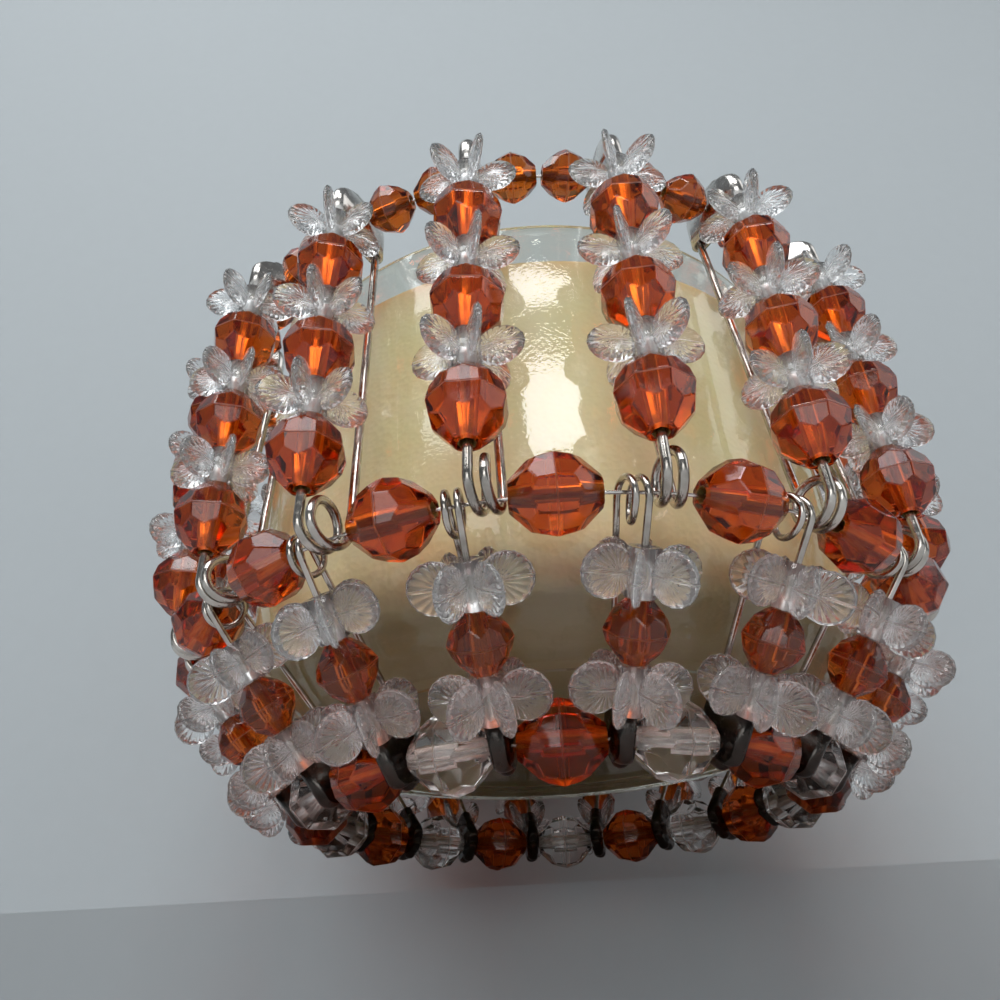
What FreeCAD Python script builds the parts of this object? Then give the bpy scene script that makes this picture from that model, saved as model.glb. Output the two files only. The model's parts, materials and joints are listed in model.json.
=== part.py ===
import FreeCAD, Part
import math
import os

import Sketcher

# Beaded safety-pin candle ring round a low glass candle jar.
# Two rows of closed safety pins strung with beads stand on three ring wires.
# The origin is the middle of the surface that the ring stands on, +Z is up.

Vector = FreeCAD.Vector
Rotation = FreeCAD.Rotation
Placement = FreeCAD.Placement

# Two places closer than this are the same place.
SAME_PLACE = 1e-6
# A coil has one and a half turns, so its legs leave on opposite sides.
HALF_TURNS = 3
# Rounds in which the bend of an inner leg settles on its aim.
BEND_ROUNDS = 5
# Points along a pin's wire at which its gap to itself is measured.
GAP_POINTS = 600
# Faceted beads of one column that lie at any turn: three upper, one lower, one middle, two top.
FREE_BEADS = 7

doc = FreeCAD.newDocument("beaded_candle_ring")

# Driving dimensions, in millimetres, degrees or counts.
SIZES = [
    ("column_count", 18, "columns of pins round the ring, an even number"),
    ("bead_diameter", 7.6, "large faceted bead, across the corners of its equator"),
    ("bead_length", 8.0, "large faceted bead, along its bore"),
    ("bead_bore", 1.5, "bore of the large bead"),
    ("bead_pole_flat", 2.6, "flat round the mouth of the large bead's bore"),
    ("bead_girdle", 0.3, "moulding band at the equator of the large bead"),
    ("small_diameter", 5.9, "small faceted bead, across the corners of its equator"),
    ("small_length", 5.6, "small faceted bead, along its bore"),
    ("small_bore", 1.2, "bore of the small bead"),
    ("small_pole_flat", 2.1, "flat round the mouth of the small bead's bore"),
    ("small_girdle", 0.25, "moulding band at the equator of the small bead"),
    ("facet_count", 8, "facets round a bead"),
    ("equator_facet_angle", 22, "slope of the facets next to the equator"),
    ("pole_facet_angle", 41, "slope of the facets next to the bore"),
    ("paddle_count", 6, "discs on one paddle bead"),
    ("paddle_reach", 5.5, "bore axis to the outer edge of a disc"),
    ("paddle_disc_diameter", 4.2, "one disc"),
    ("paddle_disc_middle", 1.3, "thickness of a disc at its middle"),
    ("paddle_disc_rim", 0.5, "thickness of a disc at its rim"),
    ("paddle_core_diameter", 3.0, "core of the paddle bead"),
    ("paddle_height", 4.2, "paddle bead, along its bore"),
    ("paddle_bore", 1.4, "bore of the paddle bead"),
    ("bead_seat_gap", 0.15, "room between neighbours strung on one pin"),
    ("ring_wire", 0.35, "the three ring wires"),
    ("clasp_hole", 1.0, "hole in a clasp for the ring wire"),
    ("clasp_sheet", 0.42, "sheet that a clasp is folded from"),
    ("clasp_slot_play", 0.11, "room between the sheet and the pin wire"),
    ("clasp_edge", 0.35, "sheet past a leg, at each side of the clasp"),
    ("clasp_cap", 0.7, "solid fold at the end of a clasp"),
    ("turn_gap", 0.5, "room between neighbouring turns of a coil"),
    ("leg_blend_radius", 6.0, "bend that turns the inner leg into its own line"),
    ("lower_wire", 0.65, "wire of the lower pins"),
    ("lower_coil", 4.4, "outer diameter of a lower pin's coil"),
    ("lower_reach", 21.5, "lower pin, from the middle of its coil to its clasp hole"),
    ("lower_outer_spread", 2.3, "outer leg of a lower pin from the pin's axis, at the clasp hole"),
    ("lower_inner_spread", 2.3, "inner leg of a lower pin from the pin's axis, at the clasp hole"),
    ("lower_mouth", 3.4, "clasp mouth of a lower pin from its hole"),
    ("lower_end", 2.3, "clasp end of a lower pin from its hole"),
    ("lower_leg_end", 0.9, "ends of a lower pin's legs past the clasp hole"),
    ("lower_corner", 2.2, "rounding of a lower pin's clasp"),
    ("lower_wire_seat", 0.6, "middle ring wire from the middle of a lower pin's coil"),
    ("upper_wire", 0.93, "wire of the upper pins"),
    ("upper_coil", 5.4, "outer diameter of an upper pin's coil"),
    ("upper_reach", 43.6, "upper pin, from the middle of its coil to its clasp hole"),
    ("upper_outer_spread", 2.6, "outer leg of an upper pin from the pin's axis, at the clasp hole"),
    ("upper_inner_spread", 4.6, "inner leg of an upper pin from the pin's axis, at the clasp hole"),
    ("upper_mouth", 3.2, "clasp mouth of an upper pin from its hole"),
    ("upper_end", 3.6, "clasp end of an upper pin from its hole"),
    ("upper_leg_end", 1.2, "ends of an upper pin's legs past the clasp hole"),
    ("upper_corner", 3.2, "rounding of an upper pin's clasp"),
    ("upper_wire_seat", 1.2, "middle ring wire below the middle of an upper pin's coil"),
    ("upper_wire_offset", 0.8, "middle ring wire inwards from the middle of an upper pin's coil"),
    ("base_play", 0.26, "room at each side of a clasp on the base ring"),
    ("bead_coil_play", 0.19, "middle bead to the lower pin's coil"),
    ("coil_play", 0.34, "lower pin's coil to the upper pin's coil"),
    ("middle_play", 1.37, "upper pin's coil to the next middle bead"),
    ("top_play", 0.63, "each of the three gaps of one pitch of the top ring"),
    ("jar_radius", 38.5, "outside of the glass jar"),
    ("jar_foot_radius", 31.5, "outer edge of the jar's foot"),
    ("jar_foot_width", 3.0, "bearing band of the foot"),
    ("jar_punt", 1.2, "hollow under the jar inside its foot"),
    ("jar_punt_slope", 1.0, "width of the sloping edge of that hollow"),
    ("jar_height", 52.5, "foot to rim"),
    ("jar_wall", 2.2, "glass wall"),
    ("jar_floor", 6.2, "glass under the wax"),
    ("jar_heel_radius", 20.0, "rounding from the heel into the wall"),
    ("jar_foot_rounding", 0.8, "rounding of the foot's outer edge"),
    ("jar_inner_rounding", 4.0, "rounding inside the bottom of the jar"),
    ("jar_rim_rounding", 0.9, "rounding of both edges of the rim"),
    ("jar_seat_gap", 0.3, "heel of the jar to the inner legs that carry it"),
    ("wax_gap", 0.1, "wax to glass"),
    ("wax_headroom", 5.5, "top of the wax below the rim"),
    ("wick_diameter", 1.6, "braided wick"),
    ("wick_stand", 8.0, "wick above the wax"),
    ("wick_gap", 0.05, "wick to its hole in the wax and in its tab"),
    ("tab_diameter", 14.0, "steel tab under the wick"),
    ("tab_thickness", 0.4, "sheet of that tab"),
    ("tab_collar_diameter", 3.0, "collar that grips the wick"),
    ("tab_collar_height", 4.0, "height of that collar from the jar's floor"),
    ("cut_overrun", 1.0, "how far a cut runs past the solid that it cuts"),
]

sheet = doc.addObject("Spreadsheet::Sheet", "sizes")
for row, (alias, amount, meaning) in enumerate(SIZES, start=1):
    sheet.set("A%d" % row, meaning)
    sheet.set("B%d" % row, str(amount))
    sheet.setAlias("B%d" % row, alias)
doc.recompute()


def size(alias):
    """The number that stands in the sheet under this alias."""
    return float(sheet.get(alias))


def value(holder, formula):
    """The number that an expression on the sheet gives."""
    result = holder.evalExpression(formula)
    return float(getattr(result, "Value", result))


def coil_width(prefix):
    """Expression for the width of a coil along its axis."""
    return "(%s / 2 * (sizes.%s_wire + sizes.turn_gap) + sizes.%s_wire)" % (
        HALF_TURNS, prefix, prefix)


def clasp_thickness(prefix):
    """Expression for the thickness of a clasp."""
    return "(sizes.%s_wire + 2 * (sizes.clasp_slot_play + sizes.clasp_sheet))" % prefix


# Each ring is as long round as what is strung on it, with its play.
ROUND = " * sizes.column_count / (2 * pi)"
BASE_RADIUS = "((sizes.bead_length + 2 * sizes.base_play + %s)%s)" % (
    clasp_thickness("lower"), ROUND)
MIDDLE_PLAY = "(sizes.bead_coil_play + sizes.coil_play + sizes.middle_play)"
MIDDLE_PITCH = "(sizes.bead_length + %s + %s + %s)" % (
    coil_width("lower"), coil_width("upper"), MIDDLE_PLAY)
MIDDLE_RADIUS = "(%s%s)" % (MIDDLE_PITCH, ROUND)
TOP_RADIUS = "((2 * sizes.small_length + 3 * sizes.top_play + %s)%s)" % (
    clasp_thickness("upper"), ROUND)

# The ring stands on a flat of each base bead. The pins' lengths set the other heights.
BASE_HEIGHT = "(sizes.bead_diameter / 2 * cos(180deg / sizes.facet_count))"
LOWER_SPAN = "(sizes.lower_reach + sizes.lower_wire_seat)"
MIDDLE_HEIGHT = "(%s + sqrt(%s^2 - (%s - %s)^2))" % (
    BASE_HEIGHT, LOWER_SPAN, MIDDLE_RADIUS, BASE_RADIUS)
UPPER_COIL_RADIUS = "(%s + sizes.upper_wire_offset)" % MIDDLE_RADIUS
UPPER_COIL_HEIGHT = "(%s + sizes.upper_wire_seat)" % MIDDLE_HEIGHT
TOP_HEIGHT = "(%s + sizes.upper_reach)" % UPPER_COIL_HEIGHT
UPPER_HOLE = "(%s - %s)" % (TOP_RADIUS, UPPER_COIL_RADIUS)


def ring_wire(name, radius, height):
    """A closed ring of thin wire at this height."""
    ring = doc.addObject("Part::Torus", name)
    ring.Label = name
    ring.setExpression("Radius1", radius)
    ring.setExpression("Radius2", "sizes.ring_wire / 2")
    ring.setExpression("Placement.Base.z", height)
    return ring


base_ring = ring_wire("base_ring_wire", BASE_RADIUS, BASE_HEIGHT)
middle_ring = ring_wire("middle_ring_wire", MIDDLE_RADIUS, MIDDLE_HEIGHT)
top_ring = ring_wire("top_ring_wire", TOP_RADIUS, TOP_HEIGHT)


# Helpers for bodies and sketches.

def origin_part(body, role):
    """The origin plane or axis of a body that has this role."""
    return [part for part in body.Origin.OriginFeatures if part.Role == role][0]


def new_body(name):
    """An empty body with its own label."""
    body = doc.addObject("PartDesign::Body", name)
    body.Label = name
    return body


def new_sketch(body, name, plane, turn=0.0):
    """A sketch on an origin plane of its body, turned about the sketch's own upright axis."""
    sketch = body.newObject("Sketcher::SketchObject", name)
    sketch.AttachmentSupport = (origin_part(body, plane), [""])
    sketch.MapMode = "FlatFace"
    sketch.AttachmentOffset = Placement(Vector(0, 0, 0), Rotation(Vector(0, 1, 0), turn))
    return sketch


def fix_point(sketch, geometry, point, formulas):
    """Ties one point of a sketch to two expressions, its places along the sketch's axes."""
    kinds = (("DistanceX", -2), ("DistanceY", -1))
    for (kind, axis), formula in zip(kinds, formulas):
        if formula == "0":
            sketch.addConstraint(Sketcher.Constraint("PointOnObject", geometry, point, axis))
            continue
        number = value(sketch, formula)
        index = sketch.addConstraint(
            Sketcher.Constraint(kind, -1, 1, geometry, point, number))
        sketch.setExpression("Constraints[%d]" % index, formula)


def add_outline(sketch, corners):
    """A closed outline of straight lines through corners given as pairs of expressions."""
    places = [Vector(value(sketch, across), value(sketch, up), 0) for across, up in corners]
    first = sketch.GeometryCount
    count = len(places)
    for index in range(count):
        sketch.addGeometry(Part.LineSegment(places[index], places[(index + 1) % count]), False)
    for index in range(count):
        following = first + (index + 1) % count
        sketch.addConstraint(
            Sketcher.Constraint("Coincident", first + index, 2, following, 1))
        fix_point(sketch, first + index, 1, corners[index])


def add_circle(sketch, diameter, across="0", up="0"):
    """A circle whose diameter and centre follow expressions."""
    centre = Vector(value(sketch, across), value(sketch, up), 0)
    radius = value(sketch, diameter) / 2
    index = sketch.addGeometry(Part.Circle(centre, Vector(0, 0, 1), radius), False)
    number = sketch.addConstraint(Sketcher.Constraint("Diameter", index, radius * 2))
    sketch.setExpression("Constraints[%d]" % number, diameter)
    fix_point(sketch, index, 3, (across, up))


def add_feature(body, kind, name, sketch):
    """A feature of a body that works on a sketch."""
    feature = body.newObject("PartDesign::" + kind, name)
    feature.Profile = sketch
    return feature


def pad_both_ways(body, name, sketch, length):
    """A pad of half the length to each side of its sketch."""
    pad = add_feature(body, "Pad", name, sketch)
    pad.SideType = "Symmetric"
    pad.setExpression("Length", length)
    return pad


def pocket_both_ways(body, name, sketch, length):
    """A pocket of half the length to each side of its sketch."""
    pocket = add_feature(body, "Pocket", name, sketch)
    pocket.SideType = "Symmetric"
    pocket.setExpression("Length", length)
    return pocket


def repeat_round(body, name, feature, count):
    """Copies of a feature round the body's own upright axis."""
    pattern = body.newObject("PartDesign::PolarPattern", name)
    pattern.Originals = [feature]
    pattern.Axis = (origin_part(body, "Z_Axis"), [""])
    pattern.Angle = 360
    pattern.setExpression("Occurrences", count)
    body.Tip = pattern
    return pattern


def revolve(body, name, sketch):
    """A full turn of a sketch about its own upright axis."""
    feature = add_feature(body, "Revolution", name, sketch)
    feature.ReferenceAxis = (sketch, ["V_Axis"])
    feature.Angle = 360
    return feature


def round_edges(body, name, base, radius, height, rounding):
    """A fillet on the round edge that lies at this radius and height."""
    doc.recompute()
    found = []
    for index, edge in enumerate(base.Shape.Edges, start=1):
        curve = edge.Curve
        if curve.TypeId != "Part::GeomCircle":
            continue
        nearness = abs(curve.Radius - radius) + abs(curve.Center.z - height)
        found.append((nearness, "Edge%d" % index))
    fillet = body.newObject("PartDesign::Fillet", name)
    fillet.Base = (base, [min(found)[1]])
    fillet.setExpression("Radius", rounding)
    return fillet


# Faceted beads. The bore lies along Z, and the middle of the bead is at zero.

def faceted_bead(name, prefix):
    """An eight-sided bead with facets next to its equator and to its bore."""
    text = {
        "girdle": "sizes.%s_girdle" % prefix,
        "length": "sizes.%s_length" % prefix,
        "pole": "sizes.%s_pole_flat" % prefix,
        "bore": "sizes.%s_bore" % prefix,
        "corner": "sizes.%s_diameter / 2" % prefix,
        "flat": "sizes.%s_diameter / 2 * cos(180deg / sizes.facet_count)" % prefix,
        "over": "sizes.cut_overrun",
        "equator": "tan(sizes.equator_facet_angle * 1deg)",
        "polar": "tan(sizes.pole_facet_angle * 1deg)",
    }
    body = new_body(name)
    count = int(size("facet_count"))
    half_facet = 180.0 / count

    blank = new_sketch(body, name + "_blank", "XY_Plane")
    corners = []
    for index in range(count):
        angle = 2 * half_facet * index
        corners.append((
            "(%s) * cos(%.9fdeg)" % (text["corner"], angle),
            "(%s) * sin(%.9fdeg)" % (text["corner"], angle),
        ))
    add_outline(blank, corners)
    add_circle(blank, text["bore"])
    pad_both_ways(body, name + "_prism", blank, text["length"])

    # A facet next to the equator leaves the girdle at the middle of each flat.
    equator = new_sketch(body, name + "_equator_cut", "XZ_Plane", half_facet)
    for way in ("", "-"):
        add_outline(equator, [
            ("{flat}".format(**text), way + "{girdle} / 2".format(**text)),
            ("{flat} - ({length} / 2 + {over} - {girdle} / 2) * {equator}".format(**text),
             way + "({length} / 2 + {over})".format(**text)),
            ("{corner} + {over}".format(**text), way + "({length} / 2 + {over})".format(**text)),
            ("{corner} + {over}".format(**text), way + "{girdle} / 2".format(**text)),
        ])
    cut = pocket_both_ways(body, name + "_equator_facet", equator,
                           "4 * ({corner})".format(**text))
    repeat_round(body, name + "_equator_facets", cut, "sizes.facet_count")

    # A facet next to the bore cuts across each corner and stops at the pole flat.
    polar = new_sketch(body, name + "_polar_cut", "XZ_Plane")
    for way in ("", "-"):
        add_outline(polar, [
            ("{pole} / 2 - {over} * {polar}".format(**text),
             way + "({length} / 2 + {over})".format(**text)),
            ("{corner} + {over}".format(**text), way + "({length} / 2 + {over})".format(**text)),
            ("{corner} + {over}".format(**text),
             way + "({length} / 2 - ({corner} + {over} - {pole} / 2) / {polar})".format(**text)),
        ])
    cut = pocket_both_ways(body, name + "_polar_facet", polar, "4 * ({corner})".format(**text))
    repeat_round(body, name + "_polar_facets", cut, "sizes.facet_count")
    return body


def paddle_bead(name):
    """A core with round discs set on edge round it, like the paddles of a wheel."""
    body = new_body(name)
    core = new_sketch(body, name + "_core_outline", "XY_Plane")
    add_circle(core, "sizes.paddle_core_diameter")
    pad_both_ways(body, name + "_core", core, "sizes.paddle_height")

    disc = new_sketch(body, name + "_disc_outline", "XY_Plane")
    disc.setExpression(
        "AttachmentOffset.Base.x", "sizes.paddle_reach - sizes.paddle_disc_diameter / 2")
    add_outline(disc, [
        ("0", "sizes.paddle_disc_middle / 2"),
        ("0", "-sizes.paddle_disc_middle / 2"),
        ("sizes.paddle_disc_diameter / 2", "-sizes.paddle_disc_rim / 2"),
        ("sizes.paddle_disc_diameter / 2", "sizes.paddle_disc_rim / 2"),
    ])
    lens = revolve(body, name + "_disc", disc)
    repeat_round(body, name + "_discs", lens, "sizes.paddle_count")

    bore = new_sketch(body, name + "_bore_outline", "XY_Plane")
    add_circle(bore, "sizes.paddle_bore")
    pocket_both_ways(body, name + "_bore", bore, "sizes.paddle_height + 2 * sizes.cut_overrun")
    return body


# Clasps. In a pin's own frame the middle of the coil is at zero, the clasp lies towards +Z,
# the outer leg lies on the +X side, and the coil's axis runs along Y.

def pin_clasp(name, prefix, hole_place):
    """The folded sheet cap that holds both legs of a pin, with a hole for the ring wire."""
    text = {
        "outer": "(sizes.%s_outer_spread + sizes.%s_wire / 2 + sizes.clasp_edge)" % (prefix, prefix),
        "inner": "(sizes.%s_inner_spread + sizes.%s_wire / 2 + sizes.clasp_edge)" % (prefix, prefix),
        "mouth": "(sizes.%s_reach - sizes.%s_mouth)" % (prefix, prefix),
        "end": "(sizes.%s_reach + sizes.%s_end)" % (prefix, prefix),
        "hole": "sizes.%s_reach" % prefix,
        "slot": "(sizes.%s_wire + 2 * sizes.clasp_slot_play)" % prefix,
        "over": "sizes.cut_overrun",
    }
    body = new_body(name)
    outline = new_sketch(body, name + "_outline", "XZ_Plane")
    add_outline(outline, [
        ("-{inner}".format(**text), text["mouth"]),
        (text["outer"], text["mouth"]),
        (text["outer"], text["end"]),
        ("-{inner}".format(**text), text["end"]),
    ])
    blank = pad_both_ways(
        body, name + "_blank", outline, "{slot} + 2 * sizes.clasp_sheet".format(**text))

    slot = new_sketch(body, name + "_slot_outline", "XZ_Plane")
    add_outline(slot, [
        ("-{inner} - {over}".format(**text), "{mouth} - {over}".format(**text)),
        ("{outer} + {over}".format(**text), "{mouth} - {over}".format(**text)),
        ("{outer} + {over}".format(**text), "{end} - sizes.clasp_cap".format(**text)),
        ("-{inner} - {over}".format(**text), "{end} - sizes.clasp_cap".format(**text)),
    ])

    # The rounded end is made on the blank, before the slot divides it.
    doc.recompute()
    top = size(prefix + "_reach") + size(prefix + "_end")
    corners = [
        "Edge%d" % index for index, edge in enumerate(blank.Shape.Edges, start=1)
        if all(abs(vertex.Point.z - top) < SAME_PLACE for vertex in edge.Vertexes)
        and abs(edge.Vertexes[0].Point.x - edge.Vertexes[1].Point.x) < SAME_PLACE
    ]
    rounded = body.newObject("PartDesign::Fillet", name + "_rounded_end")
    rounded.Base = (blank, corners)
    rounded.setExpression("Radius", "sizes.%s_corner" % prefix)
    pocket_both_ways(body, name + "_slot", slot, text["slot"])

    hole = new_sketch(body, name + "_hole_outline", "XZ_Plane")
    add_circle(hole, "sizes.clasp_hole", hole_place, text["hole"])
    pocket_both_ways(body, name + "_hole", hole,
                     "{slot} + 2 * sizes.clasp_sheet + 2 * {over}".format(**text))
    return body


class Pin:
    """One size of safety pin: its wire in its own frame, and where beads sit on it."""

    def __init__(self, prefix):
        self.wire = size(prefix + "_wire")
        self.turn_radius = (size(prefix + "_coil") - self.wire) / 2
        self.step = (self.wire + size("turn_gap")) / 2
        self.reach = size(prefix + "_reach")
        self.outer_spread = size(prefix + "_outer_spread")
        self.inner_spread = size(prefix + "_inner_spread")
        self.leg_end = size(prefix + "_leg_end")
        self.crossing = self.reach + (self.leg_end - size(prefix + "_mouth")) / 2
        self.side = self.step * HALF_TURNS / 2
        self.outer_coil_point = Vector(self.turn_radius, -self.side, 0)
        self.inner_coil_point = Vector(-self.turn_radius, self.side, 0)
        self.outer_tip = self.tip(self.outer_coil_point, self.outer_spread)
        self.inner_tip = self.tip(self.inner_coil_point, -self.inner_spread)

    def tip(self, start, spread):
        """End of a leg, on its straight line from the coil through its place in the clasp.

        The leg crosses the middle plane of the clasp halfway between the mouth and its end.
        """
        length = self.reach + self.leg_end
        across = start.x + (spread - start.x) * length / self.reach
        sideways = start.y * (1 - length / self.crossing)
        return Vector(across, sideways, length)

    def outer_direction(self):
        """Unit vector along the outer leg, from the coil to the clasp."""
        return (self.outer_tip - self.outer_coil_point).normalize()

    def path(self):
        """Outer leg, three half turns that step sideways, a bend, and the inner leg.

        A half turn is half a circle in the plane of the leg's direction and the step to its
        end, so every joint is smooth. The last one stops short, so that the legs spread.
        """
        heading = self.outer_direction() * -1
        edges = [Part.LineSegment(self.outer_tip, self.outer_coil_point).toShape()]
        start = self.outer_coil_point
        for turn in range(HALF_TURNS):
            side = -1 if turn % 2 == 0 else 1
            stride = Vector(side * 2 * self.turn_radius, self.step, 0)
            stride = stride - heading * stride.dot(heading)
            centre = start + stride / 2
            radius = stride.Length / 2
            outward = (start - centre).normalize()
            sweep = math.pi
            if turn == HALF_TURNS - 1:
                sweep = math.pi - self.spread_angle(heading)
            middle = centre + (outward * math.cos(sweep / 2) + heading * math.sin(sweep / 2)) * radius
            end = centre + (outward * math.cos(sweep) + heading * math.sin(sweep)) * radius
            edges.append(Part.Arc(start, middle, end).toShape())
            heading = heading * math.cos(sweep) - outward * math.sin(sweep)
            start = end
        bend, start = self.bend_towards(start, heading, self.inner_tip)
        edges.append(bend)
        edges.append(Part.LineSegment(start, self.inner_tip).toShape())
        return Part.Wire(edges)

    def spread_angle(self, heading):
        """Angle between the legs, by which the last half turn stops short."""
        inner = self.inner_tip - self.inner_coil_point
        back = heading * -1
        return math.atan2(-inner.x, inner.z) + math.atan2(back.x, back.z)

    def bend_towards(self, start, heading, target):
        """An arc from start, tangent to heading, whose far end points at the target."""
        radius = size("leg_blend_radius")
        aim = (target - start).normalize()
        for repeat in range(BEND_ROUNDS):
            inward = (aim - heading * aim.dot(heading)).normalize()
            turn = math.acos(min(1.0, aim.dot(heading)))
            centre = start + inward * radius
            end = centre + (heading * math.sin(turn) - inward * math.cos(turn)) * radius
            aim = (target - end).normalize()
        half = turn / 2
        middle = centre + (heading * math.sin(half) - inward * math.cos(half)) * radius
        return Part.Arc(start, middle, end).toShape(), end

    def solid(self):
        """The wire as one unbroken tube along its path."""
        path = self.path()
        along = self.outer_direction() * -1
        section = Part.Wire([Part.Circle(self.outer_tip, along, self.wire / 2).toShape()])
        return path.makePipeShell([section], True, False)

    def least_gap(self):
        """Least clear distance between stretches of the wire, measured on points."""
        points = self.path().discretize(Number=GAP_POINTS)
        spacing = self.path().Length / GAP_POINTS
        apart = int(math.pi * self.turn_radius / spacing)
        least = min(
            (points[first] - points[second]).Length
            for first in range(GAP_POINTS) for second in range(first + apart, GAP_POINTS))
        return least - self.wire

    def inner_leg_angle(self, distance):
        """Angle past straight inwards at which a bead on the outer leg sees the inner leg."""
        bead = self.on_outer_leg(distance).Base
        inner_run = self.inner_tip - self.inner_coil_point
        inner = self.inner_coil_point + inner_run * (bead.z / inner_run.z)
        return math.degrees(math.atan2(inner.y - bead.y, bead.x - inner.x))

    def on_outer_leg(self, distance):
        """Placement of a bead on the outer leg, this far from the coil's middle along it."""
        direction = self.outer_direction()
        start = self.outer_coil_point
        return Placement(start + direction * distance, Rotation(Vector(0, 0, 1), direction))


# The jar, its wax and its wick, all round the ring's own axis.

LOWER_RUN = "((%s - %s) / %s)" % (MIDDLE_RADIUS, BASE_RADIUS, LOWER_SPAN)
LOWER_RISE = "((%s - %s) / %s)" % (MIDDLE_HEIGHT, BASE_HEIGHT, LOWER_SPAN)
INNER_LEAN = "(sizes.lower_inner_spread - (sizes.lower_coil - sizes.lower_wire) / 2)"
SEAT_OFFSET = "(sizes.lower_inner_spread + (sizes.lower_wire / 2 + sizes.jar_seat_gap)%s)" % (
    " / cos(atan(%s / sizes.lower_reach))" % INNER_LEAN)
SEAT_SLOPE = "((sizes.lower_reach * %s - %s * %s) / (sizes.lower_reach * %s + %s * %s))" % (
    LOWER_RISE, INNER_LEAN, LOWER_RUN, LOWER_RUN, INNER_LEAN, LOWER_RISE)


def seat_height(radius):
    """Expression for the height at which the inner legs of the lower pins carry this radius."""
    return "(%s + %s * %s + (%s - %s + %s * %s) * %s)" % (
        BASE_HEIGHT, SEAT_OFFSET, LOWER_RUN,
        radius, BASE_RADIUS, SEAT_OFFSET, LOWER_RISE, SEAT_SLOPE)


FOOT_HEIGHT = seat_height("sizes.jar_foot_radius")
HEEL_HEIGHT = seat_height("sizes.jar_radius")
RIM_HEIGHT = "(%s + sizes.jar_height)" % FOOT_HEIGHT
FLOOR_HEIGHT = "(%s + sizes.jar_floor)" % FOOT_HEIGHT
WAX_HEIGHT = "(%s - sizes.wax_headroom)" % RIM_HEIGHT
JAR_BORE = "(sizes.jar_radius - sizes.jar_wall)"
WICK_HOLE = "(sizes.wick_diameter / 2 + sizes.wick_gap)"


def glass_jar():
    """A low, wide jar with a ring foot, a heel that slopes as the pins do, and a thick floor."""
    body = new_body("glass_jar")
    outline = new_sketch(body, "glass_jar_outline", "XZ_Plane")
    add_outline(outline, [
        ("0", FOOT_HEIGHT + " + sizes.jar_punt"),
        ("sizes.jar_foot_radius - sizes.jar_foot_width - sizes.jar_punt_slope",
         FOOT_HEIGHT + " + sizes.jar_punt"),
        ("sizes.jar_foot_radius - sizes.jar_foot_width", FOOT_HEIGHT),
        ("sizes.jar_foot_radius", FOOT_HEIGHT),
        ("sizes.jar_radius", HEEL_HEIGHT),
        ("sizes.jar_radius", RIM_HEIGHT),
        (JAR_BORE, RIM_HEIGHT),
        (JAR_BORE, FLOOR_HEIGHT),
        ("0", FLOOR_HEIGHT),
    ])
    feature = revolve(body, "glass_jar_turned", outline)
    roundings = [
        ("heel", "sizes.jar_radius", HEEL_HEIGHT, "sizes.jar_heel_radius"),
        ("foot", "sizes.jar_foot_radius", FOOT_HEIGHT, "sizes.jar_foot_rounding"),
        ("floor", JAR_BORE, FLOOR_HEIGHT, "sizes.jar_inner_rounding"),
        ("rim", "sizes.jar_radius", RIM_HEIGHT, "sizes.jar_rim_rounding"),
        ("lip", JAR_BORE, RIM_HEIGHT, "sizes.jar_rim_rounding"),
    ]
    for name, radius, height, rounding in roundings:
        feature = round_edges(body, "glass_jar_" + name, feature,
                              value(base_ring, radius), value(base_ring, height), rounding)
    return body


def wax_fill():
    """The wax, with a hole for the wick and a hollow for the tab under it."""
    body = new_body("wax_fill")
    outline = new_sketch(body, "wax_outline", "XZ_Plane")
    wall = JAR_BORE + " - sizes.wax_gap"
    bottom = FLOOR_HEIGHT + " + sizes.wax_gap"
    tab_top = FLOOR_HEIGHT + " + sizes.tab_thickness + sizes.wick_gap"
    collar_top = FLOOR_HEIGHT + " + sizes.tab_collar_height + sizes.wick_gap"
    add_outline(outline, [
        (WICK_HOLE, WAX_HEIGHT),
        (wall, WAX_HEIGHT),
        (wall, bottom),
        ("sizes.tab_diameter / 2 + sizes.wick_gap", bottom),
        ("sizes.tab_diameter / 2 + sizes.wick_gap", tab_top),
        ("sizes.tab_collar_diameter / 2 + sizes.wick_gap", tab_top),
        ("sizes.tab_collar_diameter / 2 + sizes.wick_gap", collar_top),
        (WICK_HOLE, collar_top),
    ])
    feature = revolve(body, "wax_turned", outline)
    round_edges(body, "wax_bottom", feature, value(base_ring, wall), value(base_ring, bottom),
                "sizes.jar_inner_rounding - sizes.wax_gap")
    return body


def wick_tab():
    """A steel disc on the floor of the jar, with a collar that holds the wick upright."""
    body = new_body("wick_tab")
    outline = new_sketch(body, "wick_tab_outline", "XZ_Plane")
    plate = FLOOR_HEIGHT + " + sizes.tab_thickness"
    collar = FLOOR_HEIGHT + " + sizes.tab_collar_height"
    add_outline(outline, [
        ("0", FLOOR_HEIGHT),
        ("sizes.tab_diameter / 2", FLOOR_HEIGHT),
        ("sizes.tab_diameter / 2", plate),
        ("sizes.tab_collar_diameter / 2", plate),
        ("sizes.tab_collar_diameter / 2", collar),
        (WICK_HOLE, collar),
        (WICK_HOLE, plate),
        ("0", plate),
    ])
    revolve(body, "wick_tab_turned", outline)
    return body


def wick():
    """The wick, from its tab to above the wax."""
    cord = doc.addObject("Part::Cylinder", "wick")
    cord.Label = "wick"
    cord.setExpression("Radius", "sizes.wick_diameter / 2")
    cord.setExpression("Placement.Base.z", FLOOR_HEIGHT + " + sizes.tab_thickness")
    cord.setExpression("Height", "%s + sizes.wick_stand - %s - sizes.tab_thickness" % (
        WAX_HEIGHT, FLOOR_HEIGHT))
    return cord


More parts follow.
